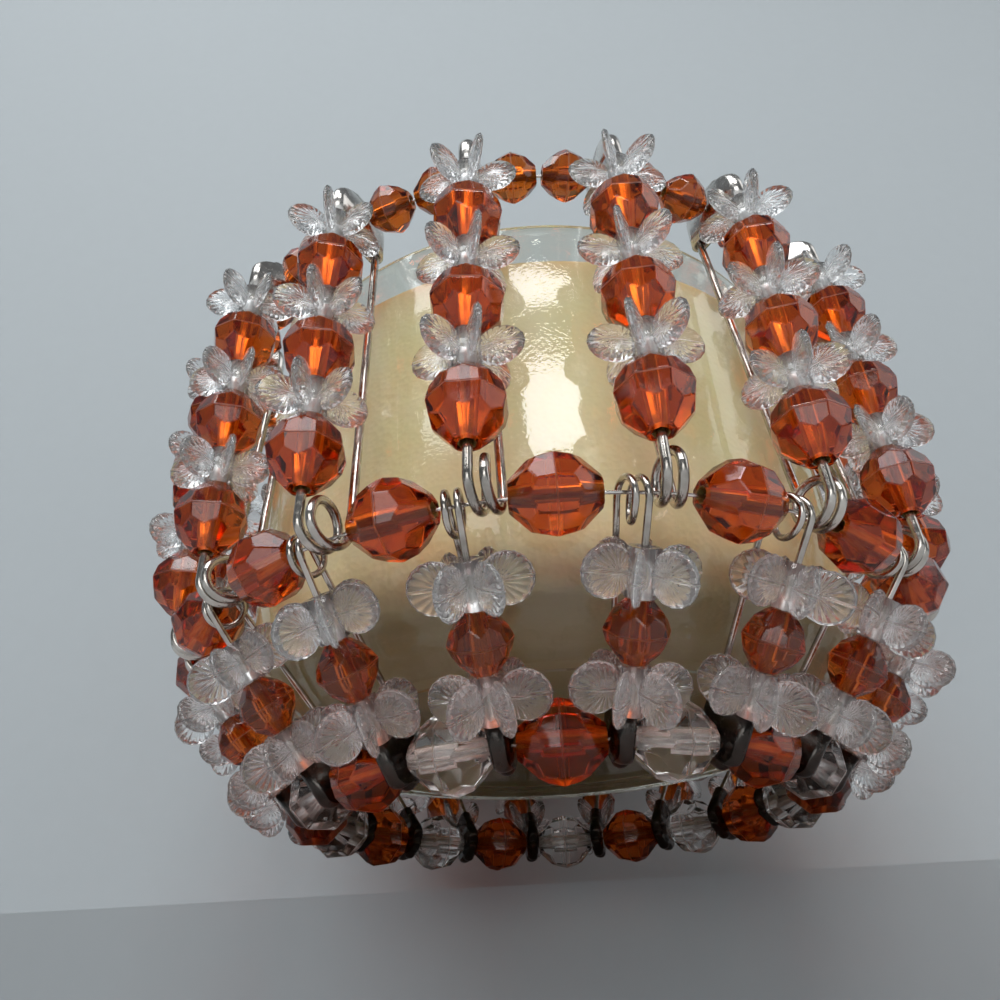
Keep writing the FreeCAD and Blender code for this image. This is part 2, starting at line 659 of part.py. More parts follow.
# One pattern of each repeated piece. The nodes are placed copies of these.
patterns = {
    "amber": faceted_bead("amber_bead_pattern", "bead"),
    "small": faceted_bead("small_bead_pattern", "small"),
    "paddle": paddle_bead("paddle_bead_pattern"),
    "lower_clasp": pin_clasp("lower_clasp_pattern", "lower", "0"),
    "upper_clasp": pin_clasp("upper_clasp_pattern", "upper", UPPER_HOLE),
}
candle_nodes = [glass_jar(), wax_fill(), wick_tab(), wick()]
doc.recompute()

lower_pin = Pin("lower")
upper_pin = Pin("upper")
pattern_shapes = {name: pattern.Shape for name, pattern in patterns.items()}
pattern_shapes["lower_wire"] = lower_pin.solid()
pattern_shapes["upper_wire"] = upper_pin.solid()
for name, pin in (("lower", lower_pin), ("upper", upper_pin)):
    print("%s pin: least gap of the wire to itself %.3f mm" % (name, pin.least_gap()))


# Places round the ring. Column 0 is at the front, towards -Y, and angles grow to +X.

column_count = int(size("column_count"))
pitch_angle = 360.0 / column_count
middle_pitch = value(base_ring, MIDDLE_PITCH)
base_radius = value(base_ring, BASE_RADIUS)
base_height = value(base_ring, BASE_HEIGHT)
middle_radius = value(base_ring, MIDDLE_RADIUS)
middle_height = value(base_ring, MIDDLE_HEIGHT)
top_radius = value(base_ring, TOP_RADIUS)
top_height = value(base_ring, TOP_HEIGHT)

# Where a column's pieces stand, as shares of one pitch past the column's middle bead.
lower_width = value(base_ring, coil_width("lower"))
upper_width = value(base_ring, coil_width("upper"))
lower_share = (size("bead_length") / 2 + size("bead_coil_play") + lower_width / 2) / middle_pitch
upper_share = lower_share + (lower_width / 2 + size("coil_play") + upper_width / 2) / middle_pitch
base_share = lower_share - 0.5
top_step = (size("small_length") + size("top_play")) / 2
top_share = top_step / (2 * math.pi * top_radius / column_count)

# A middle bead slides in its play. These columns and those opposite show it, as shares of it.
slide_shares = {0: -0.88, column_count // 2 - 1: -0.15}

# Beads strung by hand lie at any turn about their bores, here one golden angle after another.
GOLDEN_ANGLE = 180.0 * (3.0 - math.sqrt(5.0))


def column_place(column, share):
    """Placement that turns the +X direction to a place in this column."""
    angle = (column + share) * pitch_angle - 90.0
    return Placement(Vector(0, 0, 0), Rotation(Vector(0, 0, 1), angle))


def ring_bead_place(column, share, radius, height, turn):
    """Placement of a bead threaded on a ring wire, turned about its bore."""
    along_ring = Rotation(
        Vector(0, 0, -1), Vector(-1, 0, 0), Vector(0, 1, 0), "ZXY")
    seat = Placement(Vector(radius, 0, height), along_ring)
    spin = Placement(Vector(0, 0, 0), Rotation(Vector(0, 0, 1), turn))
    return column_place(column, share) * seat * spin


def lower_pin_place(column):
    """Placement of a lower pin, which leans outwards from the base ring to the middle ring."""
    run = middle_radius - base_radius
    rise = middle_height - base_height
    to_clasp = Vector(-run, 0, -rise).normalize()
    outwards = Vector(-to_clasp.z, 0, to_clasp.x)
    turn = Rotation(outwards, to_clasp.cross(outwards), to_clasp, "ZXY")
    coil = Vector(middle_radius, 0, middle_height) + to_clasp * size("lower_wire_seat")
    return column_place(column, lower_share) * Placement(coil, turn)


def upper_pin_place(column):
    """Placement of an upper pin, which stands upright on the middle ring."""
    coil = Vector(middle_radius + size("upper_wire_offset"), 0,
                  middle_height + size("upper_wire_seat"))
    return column_place(column, upper_share) * Placement(coil, Rotation())


def pin_bead_place(pin_place, pin, distance, turn):
    """Placement of a bead on the outer leg of a pin, turned about its bore."""
    spin = Placement(Vector(0, 0, 0), Rotation(Vector(0, 0, 1), turn))
    return pin_place * pin.on_outer_leg(distance) * spin


def free_turn(column, number):
    """Turn about its bore of one of the free beads of a column, counted from zero."""
    return GOLDEN_ANGLE * (column * FREE_BEADS + number)


# What is strung on a pin's outer leg, from the coil to the clasp.
upper_stack = ["amber", "paddle", "amber", "paddle", "amber", "paddle"]
lower_stack = ["paddle", "small", "paddle"]
lengths = {
    "amber": size("bead_length"),
    "small": size("small_length"),
    "paddle": size("paddle_height"),
}
gap = size("bead_seat_gap")


def paddle_turn(pin, distance):
    """Turn of a paddle bead: the gap between two discs is halfway from inwards to the inner leg."""
    return 180.0 / size("paddle_count") - pin.inner_leg_angle(distance) / 2


def upper_distances():
    """Middles of the beads on an upper pin, which stand on its coil."""
    middles = []
    edge = size("upper_coil") / 2
    for kind in upper_stack:
        middles.append(edge + gap + lengths[kind] / 2)
        edge = middles[-1] + lengths[kind] / 2
    return middles


def lower_distances():
    """Middles of the beads on a lower pin, which hang down to its clasp."""
    middles = []
    edge = size("lower_reach") - size("lower_mouth")
    for kind in reversed(lower_stack):
        middles.insert(0, edge - gap - lengths[kind] / 2)
        edge = middles[0] - lengths[kind] / 2
    return middles


# Every solid of the ring, as lists of pattern and placement under the name of its node.
nodes = {}


def add_piece(node, pattern, place):
    """One more placed copy of a pattern in a node."""
    nodes.setdefault(node, []).append((pattern, place))


def strung_node(side, row_of_pins, kind, row):
    """Name of the node for a bead on a pin: its own in a named column, or else a shared one."""
    plain = "paddle" if kind == "paddle" else "amber"
    number = 1 + row // 2
    if side:
        return "%s_%s_%s_%d" % (side, row_of_pins, plain, number)
    return "%s_%ss_%d" % (row_of_pins, plain, number)


# Two columns at the front have each bead in a node of its own, because they turn.
named_columns = {column_count - 1: "left", 0: "right"}
named_middle_beads = {column_count - 1: "left", 0: "center", 1: "right"}
named_base_beads = {0: "front_base_amber", column_count - 1: "front_base_clear"}
named_top_beads = {(column_count - 1, -1): "front_top_amber_left",
                   (column_count - 1, 1): "front_top_amber_right"}

for column in range(column_count):
    side = named_columns.get(column)
    lower_place = lower_pin_place(column)
    upper_place = upper_pin_place(column)
    add_piece("lower_pin_wires", "lower_wire", lower_place)
    add_piece("lower_pin_clasps", "lower_clasp", lower_place)
    add_piece("upper_pin_wires", "upper_wire", upper_place)
    add_piece("upper_pin_clasps", "upper_clasp", upper_place)

    for row, distance in enumerate(lower_distances()):
        kind = lower_stack[row]
        turn = paddle_turn(lower_pin, distance) if kind == "paddle" else free_turn(column, 1)
        place = pin_bead_place(lower_place, lower_pin, distance, turn)
        add_piece(strung_node(side, "lower", kind, row), kind, place)

    for row, distance in enumerate(upper_distances()):
        kind = upper_stack[row]
        turn = paddle_turn(upper_pin, distance) if kind == "paddle" else free_turn(column, row)
        place = pin_bead_place(upper_place, upper_pin, distance, turn)
        add_piece(strung_node(side, "upper", kind, row), kind, place)

    shift = slide_shares.get(column % (column_count // 2), 0) * size("middle_play") / middle_pitch
    place = ring_bead_place(column, shift, middle_radius, middle_height, free_turn(column, 3))
    side = named_middle_beads.get(column)
    add_piece("middle_amber_%s" % side if side else "middle_ambers", "amber", place)

    flat_down = -180.0 / size("facet_count")
    place = ring_bead_place(column, base_share, base_radius, base_height, flat_down)
    group = "base_ambers" if column % 2 == 0 else "base_clears"
    add_piece(named_base_beads.get(column, group), "amber", place)

    for way in (-1, 1):
        share = upper_share + 0.5 + way * top_share
        place = ring_bead_place(column, share, top_radius, top_height,
                                free_turn(column, 5 + way))
        add_piece(named_top_beads.get((column, way), "top_ambers"), "small", place)

ring_nodes = []
for name, pieces in nodes.items():
    node = doc.addObject("Part::Feature", name)
    node.Label = name
    if len(pieces) == 1:
        pattern, place = pieces[0]
        node.Shape = pattern_shapes[pattern].copy()
        node.Placement = place
    else:
        solids = []
        for pattern, place in pieces:
            solid = pattern_shapes[pattern].copy()
            solid.Placement = place * solid.Placement
            solids.append(solid)
        node.Shape = Part.makeCompound(solids)
        node.Placement = Placement()
    ring_nodes.append(node)
doc.recompute()

# Nothing is written unless every object and every solid is sound.
for item in doc.Objects:
    if "Invalid" in item.State or "Error" in item.State:
        raise RuntimeError("%s could not be worked out: %s" % (item.Label, item.State))

kept = [base_ring, middle_ring, top_ring] + candle_nodes + ring_nodes
os.makedirs("parts", exist_ok=True)
for item in kept:
    shape = item.Shape
    if shape.isNull() or not shape.isValid() or not shape.Solids:
        raise RuntimeError("%s has no sound solid" % item.Label)
for item in kept:
    item.Shape.exportStep("parts/%s.step" % item.Label)
    print("%-24s %3d solids %10.2f mm3" % (
        item.Label, len(item.Shape.Solids), item.Shape.Volume))
whole = Part.makeCompound([item.Shape for item in kept]).BoundBox
print("whole: %.2f x %.2f x %.2f mm, lowest %.3f" % (
    whole.XLength, whole.YLength, whole.ZLength, whole.ZMin))
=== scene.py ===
# %% [markdown]
# A candle ring of beaded safety pins, standing round a low glass candle jar.
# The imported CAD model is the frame: it says where every piece is. This file dresses it:
# faceted beads, paddle beads, polished wire, folded clasps, moulded glass and poured wax.

# %% Load the frame
import json
import math

import bmesh
import bpy
import numpy as np
from mathutils import Matrix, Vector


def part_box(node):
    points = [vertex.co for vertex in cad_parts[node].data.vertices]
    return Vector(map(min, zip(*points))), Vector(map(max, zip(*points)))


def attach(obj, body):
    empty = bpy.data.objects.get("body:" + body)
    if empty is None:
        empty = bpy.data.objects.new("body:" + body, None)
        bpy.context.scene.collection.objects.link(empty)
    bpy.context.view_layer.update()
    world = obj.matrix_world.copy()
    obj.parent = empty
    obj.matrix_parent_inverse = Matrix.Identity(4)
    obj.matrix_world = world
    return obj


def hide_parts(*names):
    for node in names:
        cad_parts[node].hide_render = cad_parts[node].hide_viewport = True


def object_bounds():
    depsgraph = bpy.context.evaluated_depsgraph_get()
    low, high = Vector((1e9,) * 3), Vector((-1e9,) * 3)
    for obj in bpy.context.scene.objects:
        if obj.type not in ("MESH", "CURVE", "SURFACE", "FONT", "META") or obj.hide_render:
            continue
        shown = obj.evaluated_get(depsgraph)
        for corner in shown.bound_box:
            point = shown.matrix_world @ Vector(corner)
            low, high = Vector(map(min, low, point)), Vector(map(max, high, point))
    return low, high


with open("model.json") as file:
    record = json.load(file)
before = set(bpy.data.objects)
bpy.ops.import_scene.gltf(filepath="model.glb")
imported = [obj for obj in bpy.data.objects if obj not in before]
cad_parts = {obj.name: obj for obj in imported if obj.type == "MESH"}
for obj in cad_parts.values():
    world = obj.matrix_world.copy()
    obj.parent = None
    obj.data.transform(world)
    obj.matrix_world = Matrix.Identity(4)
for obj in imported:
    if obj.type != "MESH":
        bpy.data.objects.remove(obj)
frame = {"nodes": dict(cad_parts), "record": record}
nodes = frame["nodes"]
cad_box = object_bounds()
body_of_node = {
    node: body
    for body, members in frame["record"]["behaviour"]["bodies"].items()
    for node in members
}
MM = 0.001

# %% [markdown]
# The camera comes first, because every later choice is judged through it. It stands a
# hand's breadth in front of the ring and a little below its foot, and looks up. It was
# fitted to places measured on the photograph, and its field of view is that of a phone.

# %% Camera
CAMERA_PLACE = np.array([-6.08, -96.82, -14.01]) * MM
CAMERA_RIGHT = np.array([0.9986, 0.0255, -0.0466])
CAMERA_FORWARD = np.array([0.0036, 0.8426, 0.5385])
LENS_MM = 27.0


def unit(vectors):
    """Each vector divided by its length."""
    vectors = np.asarray(vectors, float)
    return vectors / np.linalg.norm(vectors, axis=-1, keepdims=True)


forward = unit(CAMERA_FORWARD)
right = unit(CAMERA_RIGHT - forward * CAMERA_RIGHT.dot(forward))
camera_matrix = np.eye(4)
camera_matrix[:3, :3] = np.stack([right, np.cross(right, forward), -forward], axis=1)
camera_matrix[:3, 3] = CAMERA_PLACE
camera = bpy.data.objects.new("camera", bpy.data.cameras.new("camera"))
bpy.context.scene.collection.objects.link(camera)
camera.matrix_world = Matrix(camera_matrix.tolist())
camera.data.lens = LENS_MM
camera.data.clip_start = 1 * MM
bpy.context.scene.camera = camera
print("camera height", round(float(CAMERA_PLACE[2]) / MM), "mm")

# %% [markdown]
# Every new piece is a grid of points, or many copies of one small shape. So two helpers
# serve them all: one numbers the faces of a grid, the other puts points, faces, materials
# and notes into a mesh. A note is a point attribute that a material reads, such as where
# a point lies inside its own bead.

# %% Helpers for meshes
def grid_faces(rows, columns, closed_rows=False, closed_columns=True):
    """Quads of a grid whose points are numbered row by row.

    The face at (row, column) joins it to the next column and the next row. Its normal is
    the direction along the row crossed with the direction to the next row.
    """
    row, column = np.meshgrid(
        np.arange(rows if closed_rows else rows - 1),
        np.arange(columns if closed_columns else columns - 1), indexing="ij")
    next_row = (row + 1) % rows
    next_column = (column + 1) % columns
    corners = [row * columns + column, row * columns + next_column,
               next_row * columns + next_column, next_row * columns + column]
    return np.stack(corners, axis=-1).reshape(-1, 4)


def copies_of_faces(faces, points_each, copies):
    """The faces of one shape, numbered on for each further copy of its points."""
    return [[corner + points_each * copy for corner in face]
            for copy in range(copies) for face in faces]


def add_piece(name, body, points, faces, materials, face_slots=None, notes=None, smooth=True):
    """A mesh piece that rides on a body, with its materials and its point notes."""
    mesh = bpy.data.meshes.new(name)
    mesh.from_pydata(np.reshape(points, (-1, 3)).tolist(), [], [list(face) for face in faces])
    for material in materials:
        mesh.materials.append(material)
    if face_slots is not None:
        mesh.polygons.foreach_set("material_index", np.asarray(face_slots, np.int32))
    mesh.polygons.foreach_set("use_smooth", np.full(len(mesh.polygons), smooth))
    for label, numbers in (notes or {}).items():
        numbers = np.asarray(numbers, np.float32)
        is_vector = numbers.shape[-1] == 3
        note = mesh.attributes.new(label, "FLOAT_VECTOR" if is_vector else "FLOAT", "POINT")
        note.data.foreach_set("vector" if is_vector else "value", numbers.ravel())
    piece = bpy.data.objects.new(name, mesh)
    bpy.context.scene.collection.objects.link(piece)
    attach(piece, body)
    return piece


def merge_points(piece, distance=1e-7):
    """Joins points that lie in one place, which closes seams and poles."""
    work = bmesh.new()
    work.from_mesh(piece.data)
    bmesh.ops.remove_doubles(work, verts=work.verts, dist=distance)
    work.to_mesh(piece.data)
    work.free()


# %% [markdown]
# A bead can lie at any angle, so its own axes have to be found before it can be dressed.
# The frame's meshes tell them: a node is divided into its separate solids, and each solid's
# farthest points give its middle and the line of its bore. Copying the CAD's layout into
# this file would work too, but it would go wrong the day a bead moves.

# %% Find every bead
SAME_PLACE = 1e-6
FARTHEST_SHARE = 0.985
STEEP_SHARE = 0.3
BESIDE_SHARE = 0.995


def solids_of(node):
    """The points of each separate solid of a CAD node.

    Every point starts with its own number, and takes the least number in its triangles
    again and again, until each solid has one number.
    """
    mesh = nodes[node].data
    points = np.empty(len(mesh.vertices) * 3, np.float32)
    mesh.vertices.foreach_get("co", points)
    points = points.reshape(-1, 3).astype(float)
    corners = np.empty(len(mesh.loops), np.int32)
    mesh.loops.foreach_get("vertex_index", corners)
    keys = np.round(points / SAME_PLACE).astype(np.int64)
    places, shared = np.unique(keys, axis=0, return_inverse=True)
    triangles = shared.ravel()[corners].reshape(-1, 3)
    number = np.arange(len(places))
    while True:
        lower = number.copy()
        np.minimum.at(lower, triangles.ravel(), np.repeat(number[triangles].min(axis=1), 3))
        lower = lower[lower]
        if np.array_equal(lower, number):
            break
        number = lower
    return [places[number == label] * SAME_PLACE for label in np.unique(number)]


def own_frame(points):
    """Middle, own X and own Z of a bead, Z along its bore and X to its farthest corner.

    The points farthest out lie evenly round the middle: round both mouths of the bore, or
    round the bead's waist. Two of their three spreads are alike, and the third is along the bore.
    """
    middle = points.mean(axis=0)
    reach = np.linalg.norm(points - middle, axis=1)
    far = points[reach > FARTHEST_SHARE * reach.max()]
    middle = far.mean(axis=0)
    spread, directions = np.linalg.svd(far - middle, full_matrices=False)[1:]
    bore = directions[0 if spread[0] - spread[1] > spread[1] - spread[2] else 2]
    around = np.array([-middle[1], middle[0], 0.0])
    bore = bore * np.sign(bore[2] if abs(bore[2]) > STEEP_SHARE else bore.dot(around))
    away = points - middle
    away = away - np.outer(away.dot(bore), bore)
    length = np.linalg.norm(away, axis=1)
    beside = away.dot(away[length.argmax()]) > BESIDE_SHARE * length.max() ** 2
    return np.array([middle, unit(away[beside].mean(axis=0)), bore])


bead_frames = {
    node: np.array([own_frame(solid) for solid in solids_of(node)])
    for node in nodes if any(word in node for word in ("amber", "clear", "paddle"))
}
print("beads:", sum(len(frames) for frames in bead_frames.values()))


def place_copies(shape, frames):
    """The points of one shape, set down in each of these frames."""
    middle, x_axis, z_axis = frames[:, 0], frames[:, 1], frames[:, 2]
    y_axis = np.cross(z_axis, x_axis)
    axes = np.stack([x_axis, y_axis, z_axis], axis=1)
    return middle[:, None, :] + np.einsum("vk,nkc->nvc", shape, axes)


# %% [markdown]
# Materials are made of nodes. What several of them share, such as the mould line round a
# bead or the fine scratches that handling leaves, is a node group with its own inputs, so
# it is written once. The two helpers keep the node code short enough to read.

# %% Helpers for materials
def put(tree, kind, inputs=None, **settings):
    """A new node with its settings, its inputs tied to sockets or set to numbers."""
    made = tree.nodes.new(kind)
    for label, setting in settings.items():
        setattr(made, label, setting)
    for label, given in (inputs or {}).items():
        if isinstance(given, bpy.types.NodeSocket):
            tree.links.new(given, made.inputs[label])
        else:
            made.inputs[label].default_value = given
    return made


def maths(tree, operation, *values):
    """The result of a Math node on these numbers or sockets."""
    made = put(tree, "ShaderNodeMath", dict(enumerate(values)), operation=operation)
    return made.outputs[0]


def blend_colours(tree, factor, first, second):
    """A colour between two, by a factor from 0 to 1."""
    made = put(tree, "ShaderNodeMix", {0: factor, 6: first, 7: second}, data_type="RGBA")
    return made.outputs[2]


def new_group(name, inputs, outputs):
    """A shader node group, its tree, and its two end nodes."""
    tree = bpy.data.node_groups.new(name, "ShaderNodeTree")
    for label, kind, start in inputs:
        socket = tree.interface.new_socket(label, in_out="INPUT", socket_type="NodeSocket" + kind)
        if start is not None:
            socket.default_value = start
    for label, kind in outputs:
        tree.interface.new_socket(label, in_out="OUTPUT", socket_type="NodeSocket" + kind)
    return tree, tree.nodes.new("NodeGroupInput"), tree.nodes.new("NodeGroupOutput")


def use_group(tree, group, **inputs):
    """A node group placed in a material, with its inputs named with underscores."""
    made = tree.nodes.new("ShaderNodeGroup")
    made.node_tree = group
    for label, given in inputs.items():
        socket = made.inputs[label.replace("_", " ")]
        if isinstance(given, bpy.types.NodeSocket):
            tree.links.new(given, socket)
        else:
            socket.default_value = given
    return made


def note(tree, label):
    """The attribute node for one of a piece's own notes."""
    return put(tree, "ShaderNodeAttribute", attribute_name=label)


def new_material(name, lets_light_through=None):
    """A material and its Principled shader. Shadows of clear pieces take a tint instead of black.

    Light that goes to a lamp through a clear piece is let straight through and tinted,
    so that what lies behind or inside the piece is lit.
    """
    material = bpy.data.materials.new(name)
    material.use_nodes = True
    tree = material.node_tree
    shader = tree.nodes["Principled BSDF"]
    if lets_light_through:
        path = put(tree, "ShaderNodeLightPath")
        tint = put(tree, "ShaderNodeBsdfTransparent", {"Color": lets_light_through})
        mixed = put(tree, "ShaderNodeMixShader", {
            0: path.outputs["Is Shadow Ray"], 1: shader.outputs[0], 2: tint.outputs[0]})
        tree.links.new(mixed.outputs[0], tree.nodes["Material Output"].inputs["Surface"])
    return material, tree, shader


# %% [markdown]
# Beads like these are moulded in two halves, and the halves meet in a fine raised line that
# scatters light. The group gives a mask that is 1 on a line where its input is zero.

# %% Shared groups
seam_group, seam_in, seam_out = new_group(
    "mould_seam", [("Distance", "Float", 0.0), ("Width", "Float", 0.08)], [("Mask", "Float")])
seam_distance = maths(seam_group, "ABSOLUTE", seam_in.outputs["Distance"])
closeness = maths(seam_group, "DIVIDE", seam_distance, seam_in.outputs["Width"])
seam_group.links.new(
    maths(seam_group, "MAXIMUM", maths(seam_group, "SUBTRACT", 1.0, closeness), 0.0),
    seam_out.inputs["Mask"])

# Handling leaves a haze of fine scratches. It roughens patches and never the whole surface.
wear_group, wear_in, wear_out = new_group(
    "handling_wear",
    [("Scale", "Float", 900.0), ("Smooth", "Float", 0.05), ("Rough", "Float", 0.2),
     ("Bump", "Float", 0.02)],
    [("Roughness", "Float"), ("Normal", "Vector")])
wear_place = put(wear_group, "ShaderNodeTexCoord").outputs["Object"]
wear_patches = put(wear_group, "ShaderNodeTexNoise", {
    "Vector": wear_place, "Scale": wear_in.outputs["Scale"], "Detail": 5.0, "Roughness": 0.65})
wear_range = put(wear_group, "ShaderNodeMapRange", {
    "Value": wear_patches.outputs["Fac"], "From Min": 0.45, "From Max": 0.7,
    "To Min": wear_in.outputs["Smooth"], "To Max": wear_in.outputs["Rough"]})
wear_group.links.new(wear_range.outputs["Result"], wear_out.inputs["Roughness"])
wear_bump = put(wear_group, "ShaderNodeBump", {
    "Height": wear_patches.outputs["Fac"], "Strength": wear_in.outputs["Bump"],
    "Distance": 0.2 * MM})
wear_group.links.new(wear_bump.outputs["Normal"], wear_out.inputs["Normal"])

# Two tones of one colour, chosen bead by bead and clouded inside each bead.
tone_group, tone_in, tone_out = new_group(
    "bead_tone",
    [("Light", "Color", (1.0, 1.0, 1.0, 1.0)), ("Dark", "Color", (0.0, 0.0, 0.0, 1.0)),
     ("Seed", "Float", 0.0), ("Place", "Vector", None)],
    [("Color", "Color")])
tone_cloud = put(tone_group, "ShaderNodeTexNoise", {
    "Vector": tone_in.outputs["Place"], "W": tone_in.outputs["Seed"], "Scale": 0.35, "Detail": 2.0},
    noise_dimensions="4D")
tone_number = put(tone_group, "ShaderNodeTexWhiteNoise", {"W": tone_in.outputs["Seed"]},
                  noise_dimensions="1D")
tone_share = maths(tone_group, "MULTIPLY", tone_number.outputs["Value"], 0.5)
tone_share = maths(tone_group, "ADD", tone_share,
                   maths(tone_group, "MULTIPLY", tone_cloud.outputs["Fac"], 0.5))
tone_group.links.new(
    blend_colours(tone_group, tone_share, tone_in.outputs["Light"], tone_in.outputs["Dark"]),
    tone_out.inputs["Color"])
print("node groups:", [group.name for group in bpy.data.node_groups])

# %% [markdown]
# The beads are clear acrylic, some dyed amber. Real refraction does most of the work: each
# facet shows the bore and the far facets at another angle. What refraction can't give is
# the bore itself, whose drilled wall is frosted and streaked. In the amber beads the bright
# gold streaks are painted highlights, standing in for the glints of lamps inside the bore.

# %% Bead materials
ACRYLIC_IOR = 1.49


def acrylic(name, light, dark, shadow_tint, roughness, depth=None):
    """Polished acrylic of one dye, with a mould line round its equator."""
    material, tree, shader = new_material(name, shadow_tint)
    place = note(tree, "place").outputs["Vector"]
    tone = use_group(tree, tone_group, Light=light, Dark=dark,
                     Seed=note(tree, "seed").outputs["Fac"], Place=place)
    height = put(tree, "ShaderNodeSeparateXYZ", {0: place}).outputs["Z"]
    seam = use_group(tree, seam_group, Distance=height, Width=0.16).outputs["Mask"]
    wear = use_group(tree, wear_group, Scale=1500.0, Smooth=roughness, Rough=roughness + 0.09,
                     Bump=0.04)
    tree.links.new(blend_colours(tree, maths(tree, "MULTIPLY", seam, 0.5), tone.outputs["Color"],
                                 (0.95, 0.85, 0.8, 1.0)), shader.inputs["Base Color"])
    tree.links.new(maths(tree, "MAXIMUM", wear.outputs["Roughness"],
                         maths(tree, "MULTIPLY", seam, 0.5)), shader.inputs["Roughness"])
    seam_bump = put(tree, "ShaderNodeBump", {
        "Height": seam, "Normal": wear.outputs["Normal"], "Strength": 0.6, "Distance": 0.05 * MM})
    tree.links.new(seam_bump.outputs["Normal"], shader.inputs["Normal"])
    shader.inputs["IOR"].default_value = ACRYLIC_IOR
    shader.inputs["Transmission Weight"].default_value = 1.0
    add_depth(tree, depth)
    return material


def add_depth(tree, depth):
    """Dye that takes light away along its whole path, so that long paths look darker.

    After a path x the share left is exp(-density * (1 - colour) * x), per colour.
    """
    if depth:
        dye = put(tree, "ShaderNodeVolumeAbsorption", {"Color": depth[0], "Density": depth[1]})
        tree.links.new(dye.outputs[0], tree.nodes["Material Output"].inputs["Volume"])


def frosted_bore_and_painted_glints(name, bright, dull, depth=None):
    """The frosted wall of a bore, streaked along its length. Some light still gets through. In amber
    the bright gold streaks are painted highlights for the glints of lamps inside the bore.
    """
    material, tree, shader = new_material(name)
    place = note(tree, "place").outputs["Vector"]
    stretched = put(tree, "ShaderNodeMapping", {"Vector": place, "Scale": (3.0, 3.0, 0.5)})
    streaks = put(tree, "ShaderNodeTexNoise", {
        "Vector": stretched.outputs["Vector"], "W": note(tree, "seed").outputs["Fac"],
        "Scale": 1.0, "Detail": 3.0}, noise_dimensions="4D")
    contrast = put(tree, "ShaderNodeMapRange", {
        "Value": streaks.outputs["Fac"], "From Min": 0.45, "From Max": 0.58})
    tree.links.new(blend_colours(tree, contrast.outputs["Result"], bright, dull),
                   shader.inputs["Base Color"])
    shader.inputs["Roughness"].default_value = 0.22
    shader.inputs["IOR"].default_value = ACRYLIC_IOR
    shader.inputs["Transmission Weight"].default_value = 0.8
    add_depth(tree, depth)
    return material


AMBER_DYE = ((0.88, 0.46, 0.10, 1.0), 320.0)
amber = acrylic("amber_acrylic", (0.92, 0.42, 0.06, 1.0), (0.56, 0.13, 0.03, 1.0),
                (1.0, 0.55, 0.22, 1.0), 0.02, AMBER_DYE)
# The pale gold streak colour is a painted highlight: the glints of lamps inside the bore.
amber_bore_painted_glints = frosted_bore_and_painted_glints("amber_bore_painted_glints", (1.0, 0.90, 0.32, 1.0), (0.85, 0.36, 0.07, 1.0),
                          AMBER_DYE)
clear = acrylic("clear_acrylic", (0.97, 0.97, 0.96, 1.0), (0.92, 0.93, 0.93, 1.0),
                (0.93, 0.94, 0.94, 1.0), 0.03)
clear_bore = frosted_bore_and_painted_glints("clear_bore", (0.95, 0.95, 0.93, 1.0), (0.62, 0.62, 0.60, 1.0))

# %% [markdown]
# A faceted bead is a ring of kite and house shaped facets between two flat poles. Its
# corners follow from two slopes: facets next to the equator lean in a little, and facets
# next to the bore cut across the corners more steeply. Where the two planes meet gives the
# heights of the other rings of corners, so the whole bead is ten rings of eight points.

# %% Faceted beads
FACETS = 8
POLE_LEAN = 41.0
POLE_SLOPE = math.tan(math.radians(POLE_LEAN))
LARGE_BEAD = {"width": 7.6 * MM, "length": 8.0 * MM, "bore": 1.5 * MM, "pole": 2.6 * MM,
              "girdle": 0.3 * MM, "lean": 12.0}
SMALL_BEAD = {"width": 5.9 * MM, "length": 5.6 * MM, "bore": 1.2 * MM, "pole": 2.1 * MM,
              "girdle": 0.25 * MM, "lean": 20.0}
BEAD_EDGE = 0.09 * MM
SHARP_EDGE_ANGLE = math.radians(12.0)


def faceted_shape(width, length, bore, pole, girdle, lean):
    """Points of a faceted bead, ring by ring from one mouth of its bore to the other.

    On a corner line the equator facet has radius (flat - slope * height) / cos(half step),
    and the pole facet pole / 2 + (length / 2 - height) * pole slope. They meet at the ring
    of lower corners. On a flat line the two change places, which gives the upper corners.
    """
    half_step = math.pi / FACETS
    shrink = math.cos(half_step)
    slope = math.tan(math.radians(lean))
    flat = width / 2 * shrink + girdle / 2 * slope
    polar = pole / 2 + length / 2 * POLE_SLOPE
    lower = (polar - flat / shrink) / (POLE_SLOPE - slope / shrink)
    upper = (polar / shrink - flat) / (POLE_SLOPE / shrink - slope)
    rings = np.array([
        [bore / 2, length / 2, 0.5],
        [pole / 2 / shrink, length / 2, 0.5],
        [flat - upper * slope, upper, 0.5],
        [(flat - lower * slope) / shrink, lower, 0.0],
        [width / 2, girdle / 2, 0.0],
    ])
    rings = np.concatenate([rings, rings[::-1] * [1, -1, 1]])
    angle = (np.arange(FACETS)[None, :] + rings[:, 2:3]) * 2 * half_step
    radius = np.broadcast_to(rings[:, 0:1], angle.shape)
    height = np.broadcast_to(rings[:, 1:2], angle.shape)
    return np.stack([radius * np.cos(angle), radius * np.sin(angle), height], -1).reshape(-1, 3)


